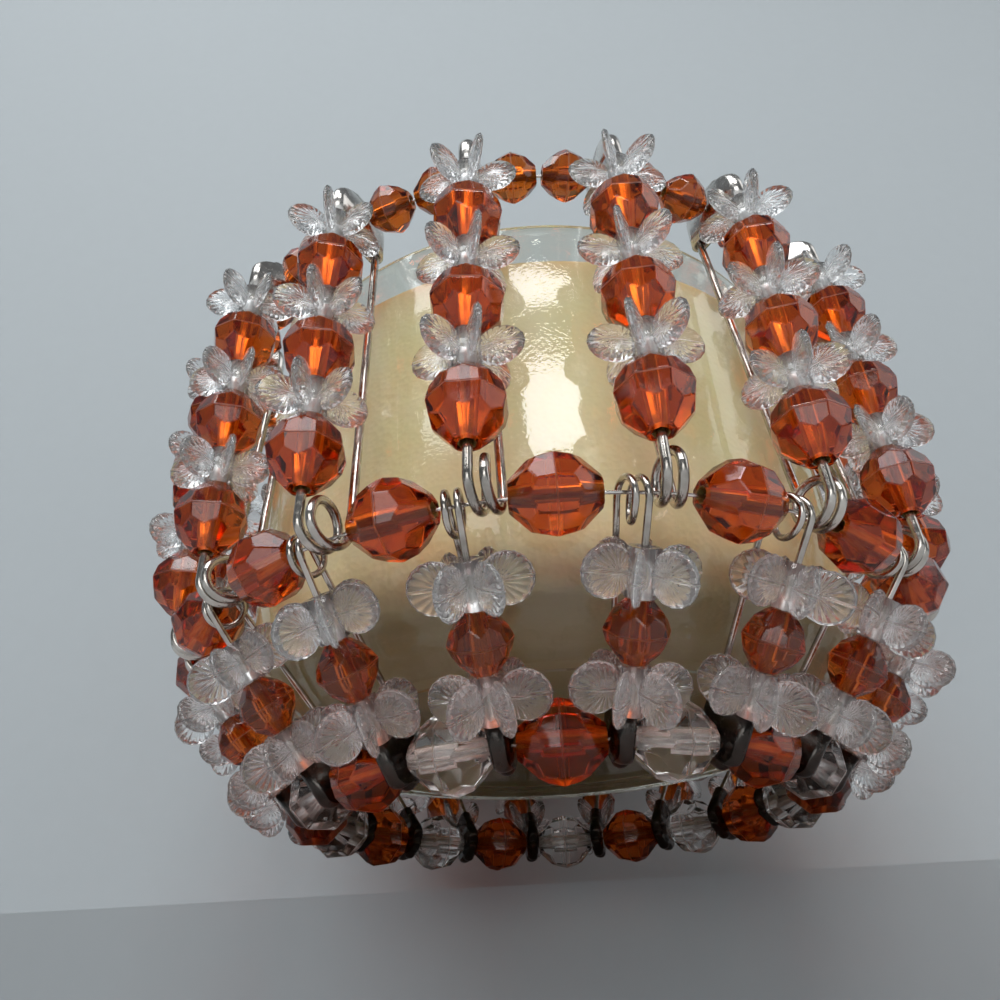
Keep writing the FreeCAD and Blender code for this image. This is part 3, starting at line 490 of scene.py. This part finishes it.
def faceted_faces():
    """Faces of that bead, turned outwards, and which of them line the bore.

    Each step round the bead has eight faces, and the first of them is the bore's.
    """
    faces = []
    for step in range(FACETS):
        def corner(ring, offset=0, step=step):
            return ring * FACETS + (step + offset) % FACETS
        faces += [
            [corner(0), corner(0, 1), corner(9, 1), corner(9)],
            [corner(1), corner(1, 1), corner(0, 1), corner(0)],
            [corner(3), corner(2), corner(1), corner(1, -1), corner(2, -1)],
            [corner(4), corner(4, 1), corner(3, 1), corner(2), corner(3)],
            [corner(5), corner(5, 1), corner(4, 1), corner(4)],
            [corner(6), corner(7), corner(6, 1), corner(5, 1), corner(5)],
            [corner(7, -1), corner(8, -1), corner(8), corner(7), corner(6)],
            [corner(9), corner(9, 1), corner(8, 1), corner(8)],
        ]
    return faces, [1 if index % 8 == 0 else 0 for index in range(len(faces))]


def add_beads(name, node, sizes, materials):
    """All the faceted beads of a node, in one mesh, with their edges a little rounded."""
    frames = bead_frames[node]
    shape = faceted_shape(**sizes)
    faces, slots = faceted_faces()
    copies = len(frames)
    seeds = np.round(frames[:, 0].sum(axis=1) / MM, 1)
    piece = add_piece(
        name, body_of_node[node], place_copies(shape, frames),
        copies_of_faces(faces, len(shape), copies), materials, slots * copies,
        notes={"place": np.tile(shape / MM, (copies, 1)), "seed": np.repeat(seeds, len(shape))},
        smooth=False)
    bevel = piece.modifiers.new("rounded_edges", "BEVEL")
    bevel.width = BEAD_EDGE
    bevel.segments = 1
    bevel.limit_method = "ANGLE"
    bevel.angle_limit = SHARP_EDGE_ANGLE
    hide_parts(node)
    return piece


for node in bead_frames:
    if "paddle" in node:
        continue
    is_clear = "clear" in node
    is_small = "lower" in node or "top" in node
    piece = add_beads(node + "_faceted", node, SMALL_BEAD if is_small else LARGE_BEAD,
                      [clear, clear_bore] if is_clear else [amber, amber_bore_painted_glints])
print("faceted beads:",
      sum(len(bead_frames[node]) for node in bead_frames if "paddle" not in node))

# %% [markdown]
# A paddle bead is six clear lenses set on edge round a small tube. Each lens is thickest at
# its middle, has a mould line across it, and fine grooves that run from the rim to a point
# near the tube. The grooves are too fine for the mesh, so the material carves them by bump
# from a note that says where each point lies on its own lens.

# %% Paddle beads
PADDLES = 6
LENS_SEGMENTS = 16
CORE_SEGMENTS = 12
PADDLE = {"reach": 5.5 * MM, "lens": 4.8 * MM, "middle": 1.3 * MM, "rim": 0.5 * MM,
          "core": 3.0 * MM, "bore": 1.4 * MM, "height": 4.2 * MM}
LENS_RING_SHARES = np.array([0.0, 0.5, 0.9, 1.0, 0.9, 0.5, 0.0])
LENS_SIDES = np.array([1, 1, 1, 0, -1, -1, -1])
NOT_ON_A_LENS = 2.0


def lens_shape():
    """Points of one lens and its notes: rings from the middle of one face round to the other.

    At a share s of its radius a face stands rim / 2 + (middle - rim) / 2 * (1 - s) from the
    lens's own plane, which holds the bore. The outermost ring lies in that plane.
    """
    turn = np.arange(LENS_SEGMENTS) * 2 * math.pi / LENS_SEGMENTS
    share, angle = np.meshgrid(LENS_RING_SHARES, turn, indexing="ij")
    side = np.repeat(LENS_SIDES[:, None], LENS_SEGMENTS, axis=1)
    thick = PADDLE["rim"] / 2 + (PADDLE["middle"] - PADDLE["rim"]) / 2 * (1 - share)
    along = share * np.cos(angle)
    up = share * np.sin(angle)
    radius = PADDLE["lens"] / 2
    points = np.stack([PADDLE["reach"] - radius + along * radius, side * thick, up * radius], -1)
    notes = np.stack([along, up, side * 1.0], -1)
    return points.reshape(-1, 3), notes.reshape(-1, 3)


def tube_shape(outer, inner, height):
    """Four rings of a short tube: outside bottom, outside top, inside top, inside bottom."""
    radius = np.array([outer, outer, inner, inner])[:, None]
    level = np.array([-height, height, height, -height])[:, None]
    angle = np.arange(CORE_SEGMENTS)[None, :] * 2 * math.pi / CORE_SEGMENTS
    return np.stack([radius * np.cos(angle), radius * np.sin(angle),
                     level + 0 * angle], -1).reshape(-1, 3)


def paddle_shape():
    """Points, faces, face slots and notes of a whole paddle bead."""
    lens, lens_notes = lens_shape()
    turn = np.arange(PADDLES) * 2 * math.pi / PADDLES
    cosine, sine = np.cos(turn)[:, None], np.sin(turn)[:, None]
    x_place, y_place, height = lens[None, :, 0], lens[None, :, 1], lens[:, 2]
    lenses = np.stack([x_place * cosine - y_place * sine, x_place * sine + y_place * cosine,
                       np.tile(height, (PADDLES, 1))], -1).reshape(-1, 3)
    core = tube_shape(PADDLE["core"] / 2, PADDLE["bore"] / 2, PADDLE["height"] / 2)
    lens_faces = grid_faces(len(LENS_RING_SHARES), LENS_SEGMENTS)
    faces = copies_of_faces(lens_faces.tolist(), len(lens), PADDLES)
    core_faces = grid_faces(4, CORE_SEGMENTS, closed_rows=True) + len(lenses)
    # Of the tube's four rows of faces, the third lines its bore.
    core_rows = np.repeat(np.arange(4), CORE_SEGMENTS)
    slots = [0] * len(faces) + [1 if row == 2 else 0 for row in core_rows]
    notes = np.concatenate([np.tile(lens_notes, (PADDLES, 1)), np.full(core.shape, NOT_ON_A_LENS)])
    return np.concatenate([lenses, core]), faces + core_faces.tolist(), slots, notes


def paddle_acrylic():
    """Clear acrylic with a mould line across each lens and grooves that meet near the tube."""
    material, tree, shader = new_material("paddle_acrylic", (0.94, 0.95, 0.95, 1.0))
    lens = put(tree, "ShaderNodeSeparateXYZ", {0: note(tree, "lens").outputs["Vector"]})
    along, up = lens.outputs["X"], lens.outputs["Y"]
    seam = use_group(tree, seam_group, Distance=up, Width=0.06).outputs["Mask"]
    angle = maths(tree, "ARCTAN2", up, maths(tree, "ADD", along, 0.35))
    grooves = maths(tree, "SINE", maths(tree, "MULTIPLY", angle, 22.0))
    wear = use_group(tree, wear_group, Scale=1800.0, Smooth=0.02, Rough=0.1, Bump=0.06)
    grooved = put(tree, "ShaderNodeBump", {
        "Height": grooves, "Normal": wear.outputs["Normal"], "Strength": 0.6,
        "Distance": 0.04 * MM})
    ridged = put(tree, "ShaderNodeBump", {
        "Height": seam, "Normal": grooved.outputs["Normal"], "Strength": 0.8,
        "Distance": 0.06 * MM})
    tree.links.new(ridged.outputs["Normal"], shader.inputs["Normal"])
    tree.links.new(maths(tree, "MAXIMUM", wear.outputs["Roughness"],
                         maths(tree, "MULTIPLY", seam, 0.45)), shader.inputs["Roughness"])
    tree.links.new(blend_colours(tree, seam, (0.965, 0.97, 0.97, 1.0), (1.0, 1.0, 1.0, 1.0)),
                   shader.inputs["Base Color"])
    shader.inputs["IOR"].default_value = ACRYLIC_IOR
    shader.inputs["Transmission Weight"].default_value = 0.97
    return material


paddle_clear = paddle_acrylic()
shape, faces, slots, lens_notes = paddle_shape()
for node in [name for name in bead_frames if "paddle" in name]:
    frames = bead_frames[node]
    copies = len(frames)
    piece = add_piece(
        node + "_lenses", body_of_node[node], place_copies(shape, frames),
        copies_of_faces(faces, len(shape), copies), [paddle_clear, clear_bore], slots * copies,
        notes={"lens": np.tile(lens_notes, (copies, 1)), "place": np.tile(shape / MM, (copies, 1)),
               "seed": np.repeat(np.arange(copies, dtype=float), len(shape))})
    merge_points(piece)
    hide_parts(node)
print("paddle beads:", sum(len(bead_frames[node]) for node in bead_frames if "paddle" in node))

# %% [markdown]
# The pins and hoops keep their CAD shape: bent wire is exactly what it looks like. They get
# plated metal with a little tarnish and the fine wear of handling. The lower clasps are
# painted near black: partly darker steel, partly a painted reflection of dark surroundings.
# The upper ones are bright nickel.

# %% Metal
def metal(name, colour, tarnish, smooth, rough, scale):
    """Plated metal, with tarnish in soft patches and wear in fine ones."""
    material, tree, shader = new_material(name)
    place = put(tree, "ShaderNodeTexCoord").outputs["Object"]
    patches = put(tree, "ShaderNodeTexNoise", {"Vector": place, "Scale": scale, "Detail": 4.0})
    share = put(tree, "ShaderNodeMapRange", {
        "Value": patches.outputs["Fac"], "From Min": 0.42, "From Max": 0.68})
    tree.links.new(blend_colours(tree, share.outputs["Result"], colour, tarnish),
                   shader.inputs["Base Color"])
    wear = use_group(tree, wear_group, Scale=scale * 5, Smooth=smooth, Rough=rough, Bump=0.1)
    tree.links.new(wear.outputs["Roughness"], shader.inputs["Roughness"])
    tree.links.new(wear.outputs["Normal"], shader.inputs["Normal"])
    shader.inputs["Metallic"].default_value = 1.0
    return material


pin_metal = metal("pin_nickel", (0.56, 0.53, 0.49, 1.0), (0.32, 0.30, 0.27, 1.0), 0.12, 0.3, 400.0)
# Near-black lower clasps: darker steel, and painted shade for the dark surroundings they mirror.
dark_clasp_steel_and_painted_shade = metal("clasp_steel", (0.065, 0.06, 0.055, 1.0), (0.035, 0.032, 0.03, 1.0), 0.16,
                    0.32, 300.0)
upper_clasp_metal = metal("clasp_nickel", (0.72, 0.70, 0.67, 1.0), (0.48, 0.46, 0.43, 1.0),
                          0.15, 0.35, 300.0)
hoop_metal = metal("hoop_wire", (0.70, 0.68, 0.65, 1.0), (0.50, 0.48, 0.46, 1.0), 0.15, 0.3, 500.0)
tab_metal = metal("tab_tinplate", (0.66, 0.66, 0.66, 1.0), (0.5, 0.5, 0.5, 1.0), 0.25, 0.4, 300.0)
metal_of_node = {
    "lower_pin_wires": pin_metal, "upper_pin_wires": pin_metal,
    "base_ring_wire": hoop_metal, "middle_ring_wire": hoop_metal, "top_ring_wire": hoop_metal,
    "wick_tab": tab_metal,
}
for node, material in metal_of_node.items():
    nodes[node].data.materials.clear()
    nodes[node].data.materials.append(material)

# %% [markdown]
# A clasp is a strip folded over both legs of its pin, and its folds are round. The solid
# that it replaces tells where it lies: in the upright plane through the clasp and the axis
# of the ring, the tightest box round it gives its lean, its length and its depth.

# %% Folded clasps
SHEET = 0.42 * MM
LOWER_CLASP_CORNER = 2.2 * MM
UPPER_CLASP_CORNER = 3.2 * MM
ROUND_STEPS = 8
TRIED_LEANS = np.radians(np.arange(-45, 45, 0.25))


def tightest_box(radius, height):
    """Lean and box of points in a plane, the box with the least area of many leans."""
    best = None
    for lean in TRIED_LEANS:
        along = radius * math.sin(lean) + height * math.cos(lean)
        across = radius * math.cos(lean) - height * math.sin(lean)
        area = np.ptp(along) * np.ptp(across)
        if best is None or area < best[0]:
            best = (area, lean, along.min(), along.max(), across.min(), across.max())
    return best[1:]


def clasp_rows(length, depth, thickness, corner):
    """Rows of a clasp as height, half depth of its flat part and radius of its folds.

    The closed end rounds off like a ball, the corners follow a quarter circle, and from
    the mouth the rows go back down inside, one sheet's thickness nearer the middle.
    """
    fold = thickness / 2
    bend = corner - fold
    flat = depth / 2 - fold
    turn = np.linspace(0, math.pi / 2, ROUND_STEPS)
    rows = []
    for radius in (fold, fold - SHEET):
        tip = [(fold - radius * math.cos(t), flat - bend, radius * math.sin(t)) for t in turn]
        side = [(fold + bend * (1 - math.cos(t)), flat - bend + bend * math.sin(t), radius)
                for t in turn[1:]]
        shell = tip + side + [(length, flat, radius)]
        rows += shell if radius == fold else shell[::-1]
    return np.array(rows)


def clasp_points(solid, corner, opens_up):
    """Points of one folded clasp, set where the solid lies."""
    angle = math.atan2(solid[:, 1].mean(), solid[:, 0].mean())
    outwards = np.array([math.cos(angle), math.sin(angle), 0])
    sideways = np.array([-math.sin(angle), math.cos(angle), 0])
    lean, low, high, inner, outer = tightest_box(solid @ outwards, solid[:, 2])
    up = math.sin(lean) * outwards + np.array([0, 0, math.cos(lean)])
    across = math.cos(lean) * outwards - np.array([0, 0, math.sin(lean)])
    rows = clasp_rows(high - low, outer - inner, np.ptp(solid @ sideways), corner)
    along = (low + rows[:, 0] if opens_up else high - rows[:, 0])[:, None]
    turn = np.linspace(0, 2 * math.pi, 4 * ROUND_STEPS, endpoint=False)
    spread = np.where(np.cos(turn) > 0, 1, -1) * rows[:, 1:2] + rows[:, 2:3] * np.cos(turn)
    if not opens_up:
        turn = -turn
    thick = rows[:, 2:3] * np.sin(turn)
    middle = (inner + outer) / 2
    return (along[..., None] * up + (middle + spread)[..., None] * across
            + thick[..., None] * sideways)


for node, material, corner, opens_up in (
        ("lower_pin_clasps", dark_clasp_steel_and_painted_shade, LOWER_CLASP_CORNER, True),
        ("upper_pin_clasps", upper_clasp_metal, UPPER_CLASP_CORNER, False)):
    shapes = [clasp_points(solid, corner, opens_up) for solid in solids_of(node)]
    rows, columns = shapes[0].shape[:2]
    faces = grid_faces(rows, columns).tolist()
    piece = add_piece(node + "_folded", body_of_node[node], np.stack(shapes),
                      copies_of_faces(faces, rows * columns, len(shapes)), [material])
    merge_points(piece)
    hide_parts(node)

# %% [markdown]
# The jar, the wax and the wick are all turned about one axis. An outline of straight lines
# has its corners rounded by arcs, and is then carried round the axis as one grid of points.

# %% Turned shapes
# How far the heel rises for each step outwards, as the legs that carry it do.
HEEL_SLOPE = 1.083
JAR = {"heel_width": 7.0 * MM, "foot_width": 3.0 * MM, "punt": 1.2 * MM, "punt_slope": 1.0 * MM,
       "wall": 2.2 * MM, "floor": 6.2 * MM, "heel_round": 20.0 * MM, "foot_round": 0.8 * MM,
       "inner_round": 4.0 * MM, "rim_round": 0.9 * MM}
JAR_MESH_STEP = 1.2 * MM
FOOT_FLUTES = 96
FLUTE_DEPTH = 0.22 * MM
FLUTED_HEIGHT = 3.2 * MM


def rounded_outline(corners, radii, steps=7):
    """An outline with an arc in each corner that has a radius.

    An arc touches both lines at radius * tan(half turn) from the corner, and its middle lies
    on the line that halves the corner, at radius / cos(half turn).
    """
    corners = np.asarray(corners, float)
    outline = [corners[0]]
    for before, corner, after, radius in zip(corners, corners[1:], corners[2:], radii[1:]):
        if radius == 0:
            outline.append(corner)
            continue
        arriving, leaving = unit(corner - before), unit(after - corner)
        half_turn = math.acos(np.clip(arriving.dot(leaving), -1, 1)) / 2
        middle = corner + unit(leaving - arriving) * radius / math.cos(half_turn)
        first = corner - arriving * radius * math.tan(half_turn)
        swing = np.linspace(0, 2 * half_turn, steps)[:, None]
        outline.extend(middle + (first - middle) * np.cos(swing) + arriving * radius * np.sin(swing))
    outline.append(corners[-1])
    return np.array(outline)


def fine_outline(outline, longest):
    """The same outline with points added, so that no stretch is longer than this."""
    pieces = [outline[:1]]
    for start, end in zip(outline, outline[1:]):
        count = max(1, math.ceil(np.linalg.norm(end - start) / longest))
        share = np.arange(1, count + 1)[:, None] / count
        pieces.append(start + (end - start) * share)
    return np.concatenate(pieces)


def turned_points(outline, segments):
    """The outline's radius and height carried round the axis, as a grid of points."""
    angle = np.arange(segments)[None, :] * 2 * math.pi / segments
    radius, height = outline[:, 0:1], outline[:, 1:2]
    return np.stack([radius * np.cos(angle), radius * np.sin(angle), height + 0 * angle], -1)


jar_low, jar_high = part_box("glass_jar")
wax_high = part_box("wax_fill")[1]

# %% [markdown]
# Jar glass is thick and a little green. Light bends through its floor, which looks darker
# than its wall. Its surface isn't flat: pressed glass has a slow ripple, and the wax behind
# it comes away in patches. Fine moulded flutes run round the foot.

# %% Glass jar
jar_radius = jar_high.x
foot_radius = jar_radius - JAR["heel_width"]
bore_radius = jar_radius - JAR["wall"]
floor_height = jar_low.z + JAR["floor"]
jar_outline = rounded_outline([
    (0, jar_low.z + JAR["punt"]),
    (foot_radius - JAR["foot_width"] - JAR["punt_slope"], jar_low.z + JAR["punt"]),
    (foot_radius - JAR["foot_width"], jar_low.z),
    (foot_radius, jar_low.z),
    (jar_radius, jar_low.z + JAR["heel_width"] * HEEL_SLOPE),
    (jar_radius, jar_high.z),
    (bore_radius, jar_high.z),
    (bore_radius, floor_height),
    (0, floor_height),
], [0, 0, 0, JAR["foot_round"], JAR["heel_round"], JAR["rim_round"], JAR["rim_round"],
    JAR["inner_round"], 0])
jar_points = turned_points(fine_outline(jar_outline, JAR_MESH_STEP), FOOT_FLUTES * 4)
radius = np.linalg.norm(jar_points[..., :2], axis=-1)
angle = np.arctan2(jar_points[..., 1], jar_points[..., 0])
above_foot = (jar_points[..., 2] - jar_low.z) / FLUTED_HEIGHT
in_band = np.clip(1 - above_foot, 0, 1) * np.clip(above_foot * 6, 0, 1)
in_band = in_band * (radius > foot_radius - JAR["foot_round"])
dent = FLUTE_DEPTH * in_band * (0.5 + 0.5 * np.cos(FOOT_FLUTES * angle))
jar_points[..., :2] *= (1 - dent / np.maximum(radius, 1 * MM))[..., None]


def jar_material():
    """Pressed glass with a slow ripple and a fine orange-peel skin."""
    material, tree, shader = new_material("jar_glass", (0.94, 0.95, 0.90, 1.0))
    place = put(tree, "ShaderNodeTexCoord").outputs["Object"]
    ripple = put(tree, "ShaderNodeTexNoise", {"Vector": place, "Scale": 60.0, "Detail": 1.0})
    peel = put(tree, "ShaderNodeTexNoise", {"Vector": place, "Scale": 2400.0, "Detail": 1.0})
    slow = put(tree, "ShaderNodeBump", {
        "Height": ripple.outputs["Fac"], "Strength": 0.35, "Distance": 1.0 * MM})
    fine = put(tree, "ShaderNodeBump", {
        "Height": peel.outputs["Fac"], "Normal": slow.outputs["Normal"], "Strength": 0.3,
        "Distance": 0.03 * MM})
    tree.links.new(fine.outputs["Normal"], shader.inputs["Normal"])
    shader.inputs["Base Color"].default_value = (0.93, 0.94, 0.86, 1.0)
    shader.inputs["Roughness"].default_value = 0.02
    shader.inputs["IOR"].default_value = 1.5
    shader.inputs["Transmission Weight"].default_value = 1.0
    return material


jar = add_piece("pressed_glass_jar", "candle", jar_points,
                grid_faces(*jar_points.shape[:2]).tolist(), [jar_material()])
merge_points(jar)
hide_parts("glass_jar")
print("jar faces:", len(jar.data.polygons))

# %% [markdown]
# Poured wax shrinks as it sets. It sinks a little round the wick and clings to the glass in
# patches, paler where it has come away. Light goes a few millimetres into it.

# %% Wax
WAX = {"wet": 0.05 * MM, "edge": 0.5 * MM, "sink": 0.6 * MM, "sink_width": 6 * MM,
       "wave": 0.12 * MM, "wave_x": 7 * MM, "wave_y": 9 * MM}
WAX_MESH_STEP = 2.0 * MM
WAX_SEGMENTS = 128
# The wax wets the glass, so its skin lies just inside the glass and no air shows between.
wax_outline = fine_outline(rounded_outline([
    (0, floor_height - WAX["wet"]),
    (bore_radius + WAX["wet"], floor_height - WAX["wet"]),
    (bore_radius + WAX["wet"], wax_high.z),
    (0, wax_high.z),
], [0, JAR["inner_round"], WAX["edge"], 0]), WAX_MESH_STEP)
wax_points = turned_points(wax_outline, WAX_SEGMENTS)
radius = np.linalg.norm(wax_points[..., :2], axis=-1)
on_top = (wax_points[..., 2] > wax_high.z - 0.1 * MM) * 1.0
sink = WAX["sink"] * np.exp(-(radius / WAX["sink_width"]) ** 2)
waves = (np.sin(wax_points[..., 0] / WAX["wave_x"]) * np.cos(wax_points[..., 1] / WAX["wave_y"]))
wax_points[..., 2] -= on_top * (sink + WAX["wave"] * (1 + waves))


def wax_material():
    """Cream wax with paler patches where it has come away from the glass."""
    material, tree, shader = new_material("cream_wax")
    place = put(tree, "ShaderNodeTexCoord").outputs["Object"]
    tall = put(tree, "ShaderNodeMapping", {"Vector": place, "Scale": (1.0, 1.0, 0.35)})
    patches = put(tree, "ShaderNodeTexNoise", {
        "Vector": tall.outputs["Vector"], "Scale": 110.0, "Detail": 4.0, "Distortion": 0.6})
    share = put(tree, "ShaderNodeMapRange", {
        "Value": patches.outputs["Fac"], "From Min": 0.38, "From Max": 0.66})
    grain = put(tree, "ShaderNodeTexVoronoi", {"Vector": place, "Scale": 1500.0})
    tree.links.new(blend_colours(tree, share.outputs["Result"], (0.62, 0.585, 0.37, 1.0),
                                 (0.70, 0.675, 0.49, 1.0)), shader.inputs["Base Color"])
    bump = put(tree, "ShaderNodeBump", {
        "Height": grain.outputs["Distance"], "Strength": 0.5, "Distance": 0.1 * MM})
    tree.links.new(bump.outputs["Normal"], shader.inputs["Normal"])
    shader.inputs["Roughness"].default_value = 0.4
    shader.inputs["Specular IOR Level"].default_value = 0.15
    shader.inputs["Subsurface Weight"].default_value = 0.35
    shader.inputs["Subsurface Radius"].default_value = (1.0, 0.7, 0.35)
    shader.inputs["Subsurface Scale"].default_value = 3 * MM
    return material


wax = add_piece("poured_wax", "candle", wax_points, grid_faces(*wax_points.shape[:2]).tolist(),
                [wax_material()])
merge_points(wax)
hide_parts("wax_fill")

# %% [markdown]
# A wick is a flat braid pulled round: three strands that lean over one another. On a grid
# that is a tube whose radius swells three times round, with the swelling twisting as it climbs.

# %% Wick
STRANDS = 3
BRAID_PITCH = 4.5 * MM
WICK_ROWS = 90
WICK_SEGMENTS = 18
wick_low, wick_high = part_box("wick")
level = np.linspace(wick_low.z, wick_high.z, WICK_ROWS)[:, None]
around = np.arange(WICK_SEGMENTS)[None, :] * 2 * math.pi / WICK_SEGMENTS
strand = np.abs(np.sin(STRANDS / 2 * (around + 2 * math.pi * (level - wick_low.z) / BRAID_PITCH)))
wick_radius = wick_high.x * (0.78 + 0.22 * strand)
wick_radius[[0, -1]] = 0
wick_points = np.stack([wick_radius * np.cos(around), wick_radius * np.sin(around),
                        level + 0 * around], -1)
wick_material, tree, shader = new_material("waxed_cotton")
fibres = put(tree, "ShaderNodeTexNoise", {
    "Vector": put(tree, "ShaderNodeTexCoord").outputs["Object"], "Scale": 3000.0})
tree.links.new(blend_colours(tree, fibres.outputs["Fac"], (0.93, 0.90, 0.82, 1.0),
                             (0.72, 0.68, 0.58, 1.0)), shader.inputs["Base Color"])
shader.inputs["Roughness"].default_value = 0.7
wick = add_piece("braided_wick", "candle", wick_points,
                 grid_faces(WICK_ROWS, WICK_SEGMENTS).tolist(), [wick_material])
merge_points(wick)
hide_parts("wick")

# %% [markdown]
# The ring stands on a pale floor. The camera is below it, so the floor is seen only from
# above: from below it is clear. In the photograph the ring lies on its side, on a board
# that is level with its back, so a second pale sheet stands upright behind it.

# %% Floor and backdrop
FLOOR_REACH = 2.0
BACKDROP_GAP = 0.6 * MM


def one_sided(name, colour):
    """Pale matt paint that is clear from behind."""
    material, tree, shader = new_material(name)
    grain = put(tree, "ShaderNodeTexNoise", {
        "Vector": put(tree, "ShaderNodeTexCoord").outputs["Object"], "Scale": 250.0})
    darker = tuple(0.97 * part for part in colour[:3]) + (1.0,)
    tree.links.new(blend_colours(tree, grain.outputs["Fac"], colour, darker),
                   shader.inputs["Base Color"])
    shader.inputs["Roughness"].default_value = 0.8
    behind = put(tree, "ShaderNodeNewGeometry").outputs["Backfacing"]
    mixed = put(tree, "ShaderNodeMixShader", {
        0: behind, 1: shader.outputs[0], 2: put(tree, "ShaderNodeBsdfTransparent").outputs[0]})
    tree.links.new(mixed.outputs[0], tree.nodes["Material Output"].inputs["Surface"])
    return material


def stage_sheet(name, middle, across, upward, material):
    """A flat sheet whose visible side faces along across x upward."""
    corners = [middle - across - upward, middle + across - upward,
               middle + across + upward, middle - across + upward]
    mesh = bpy.data.meshes.new(name)
    mesh.from_pydata([corner.tolist() for corner in corners], [], [(0, 1, 2, 3)])
    mesh.materials.append(material)
    sheet = bpy.data.objects.new(name, mesh)
    bpy.context.scene.collection.objects.link(sheet)


x_way, y_way, z_way = np.eye(3) * FLOOR_REACH
stage_sheet("floor", np.zeros(3), x_way, y_way,
            one_sided("floor_paint", (0.78, 0.79, 0.80, 1.0)))
backdrop_y = cad_box[1][1] + BACKDROP_GAP
stage_sheet("backdrop", np.array([0, backdrop_y, FLOOR_REACH * 0.5]), x_way, z_way,
            one_sided("backdrop_paint", (0.46, 0.50, 0.52, 1.0)))

# %% [markdown]
# Two small bright windows stand in front, as high over the jar as the camera is below it,
# so that they mirror in the glass. Broad soft lamps light the front, the right and the back.

# %% Lights
def add_lamp(name, place, target, width, height, power, colour=(1.0, 1.0, 1.0)):
    """An area lamp that faces its target."""
    data = bpy.data.lights.new(name, "AREA")
    data.shape = "RECTANGLE"
    data.size, data.size_y = width, height
    data.energy = power
    data.color = colour
    lamp = bpy.data.objects.new(name, data)
    bpy.context.scene.collection.objects.link(lamp)
    back = unit(np.asarray(place) - np.asarray(target))
    side = unit(np.cross([0, 0, 1.0], back))
    matrix = np.eye(4)
    matrix[:3, :3] = np.stack([side, np.cross(back, side), back], axis=1)
    matrix[:3, 3] = place
    lamp.matrix_world = Matrix(matrix.tolist())


ring_middle = np.array([0.0, 0.0, 0.035])
jar_front = np.array([0.0, -jar_radius, 0.04])
add_lamp("window_low", jar_front + [0.038, -0.385, 0.315], jar_front, 0.16, 0.067, 0.38)
add_lamp("window_high", jar_front + [0.034, -0.333, 0.385], jar_front, 0.16, 0.03, 0.15)
add_lamp("soft_front", ring_middle + [-0.35, -0.5, 0.75], ring_middle, 0.5, 0.5, 3.6,
         (0.95, 0.98, 1.0))
add_lamp("soft_low", ring_middle + [-0.15, -0.9, 0.1], ring_middle, 0.6, 0.25, 1.3)
add_lamp("soft_right", ring_middle + [0.9, -0.3, 0.5], ring_middle, 0.6, 0.9, 2.0)
add_lamp("soft_back", ring_middle + [0.2, 0.9, 0.8], ring_middle, 0.9, 0.7, 2.0)
world = bpy.data.worlds.new("room")
bpy.context.scene.world = world
world.use_nodes = True
world.node_tree.nodes["Background"].inputs["Color"].default_value = (0.80, 0.84, 0.88, 1.0)
world.node_tree.nodes["Background"].inputs["Strength"].default_value = 0.2
bpy.context.scene.view_settings.view_transform = "Standard"
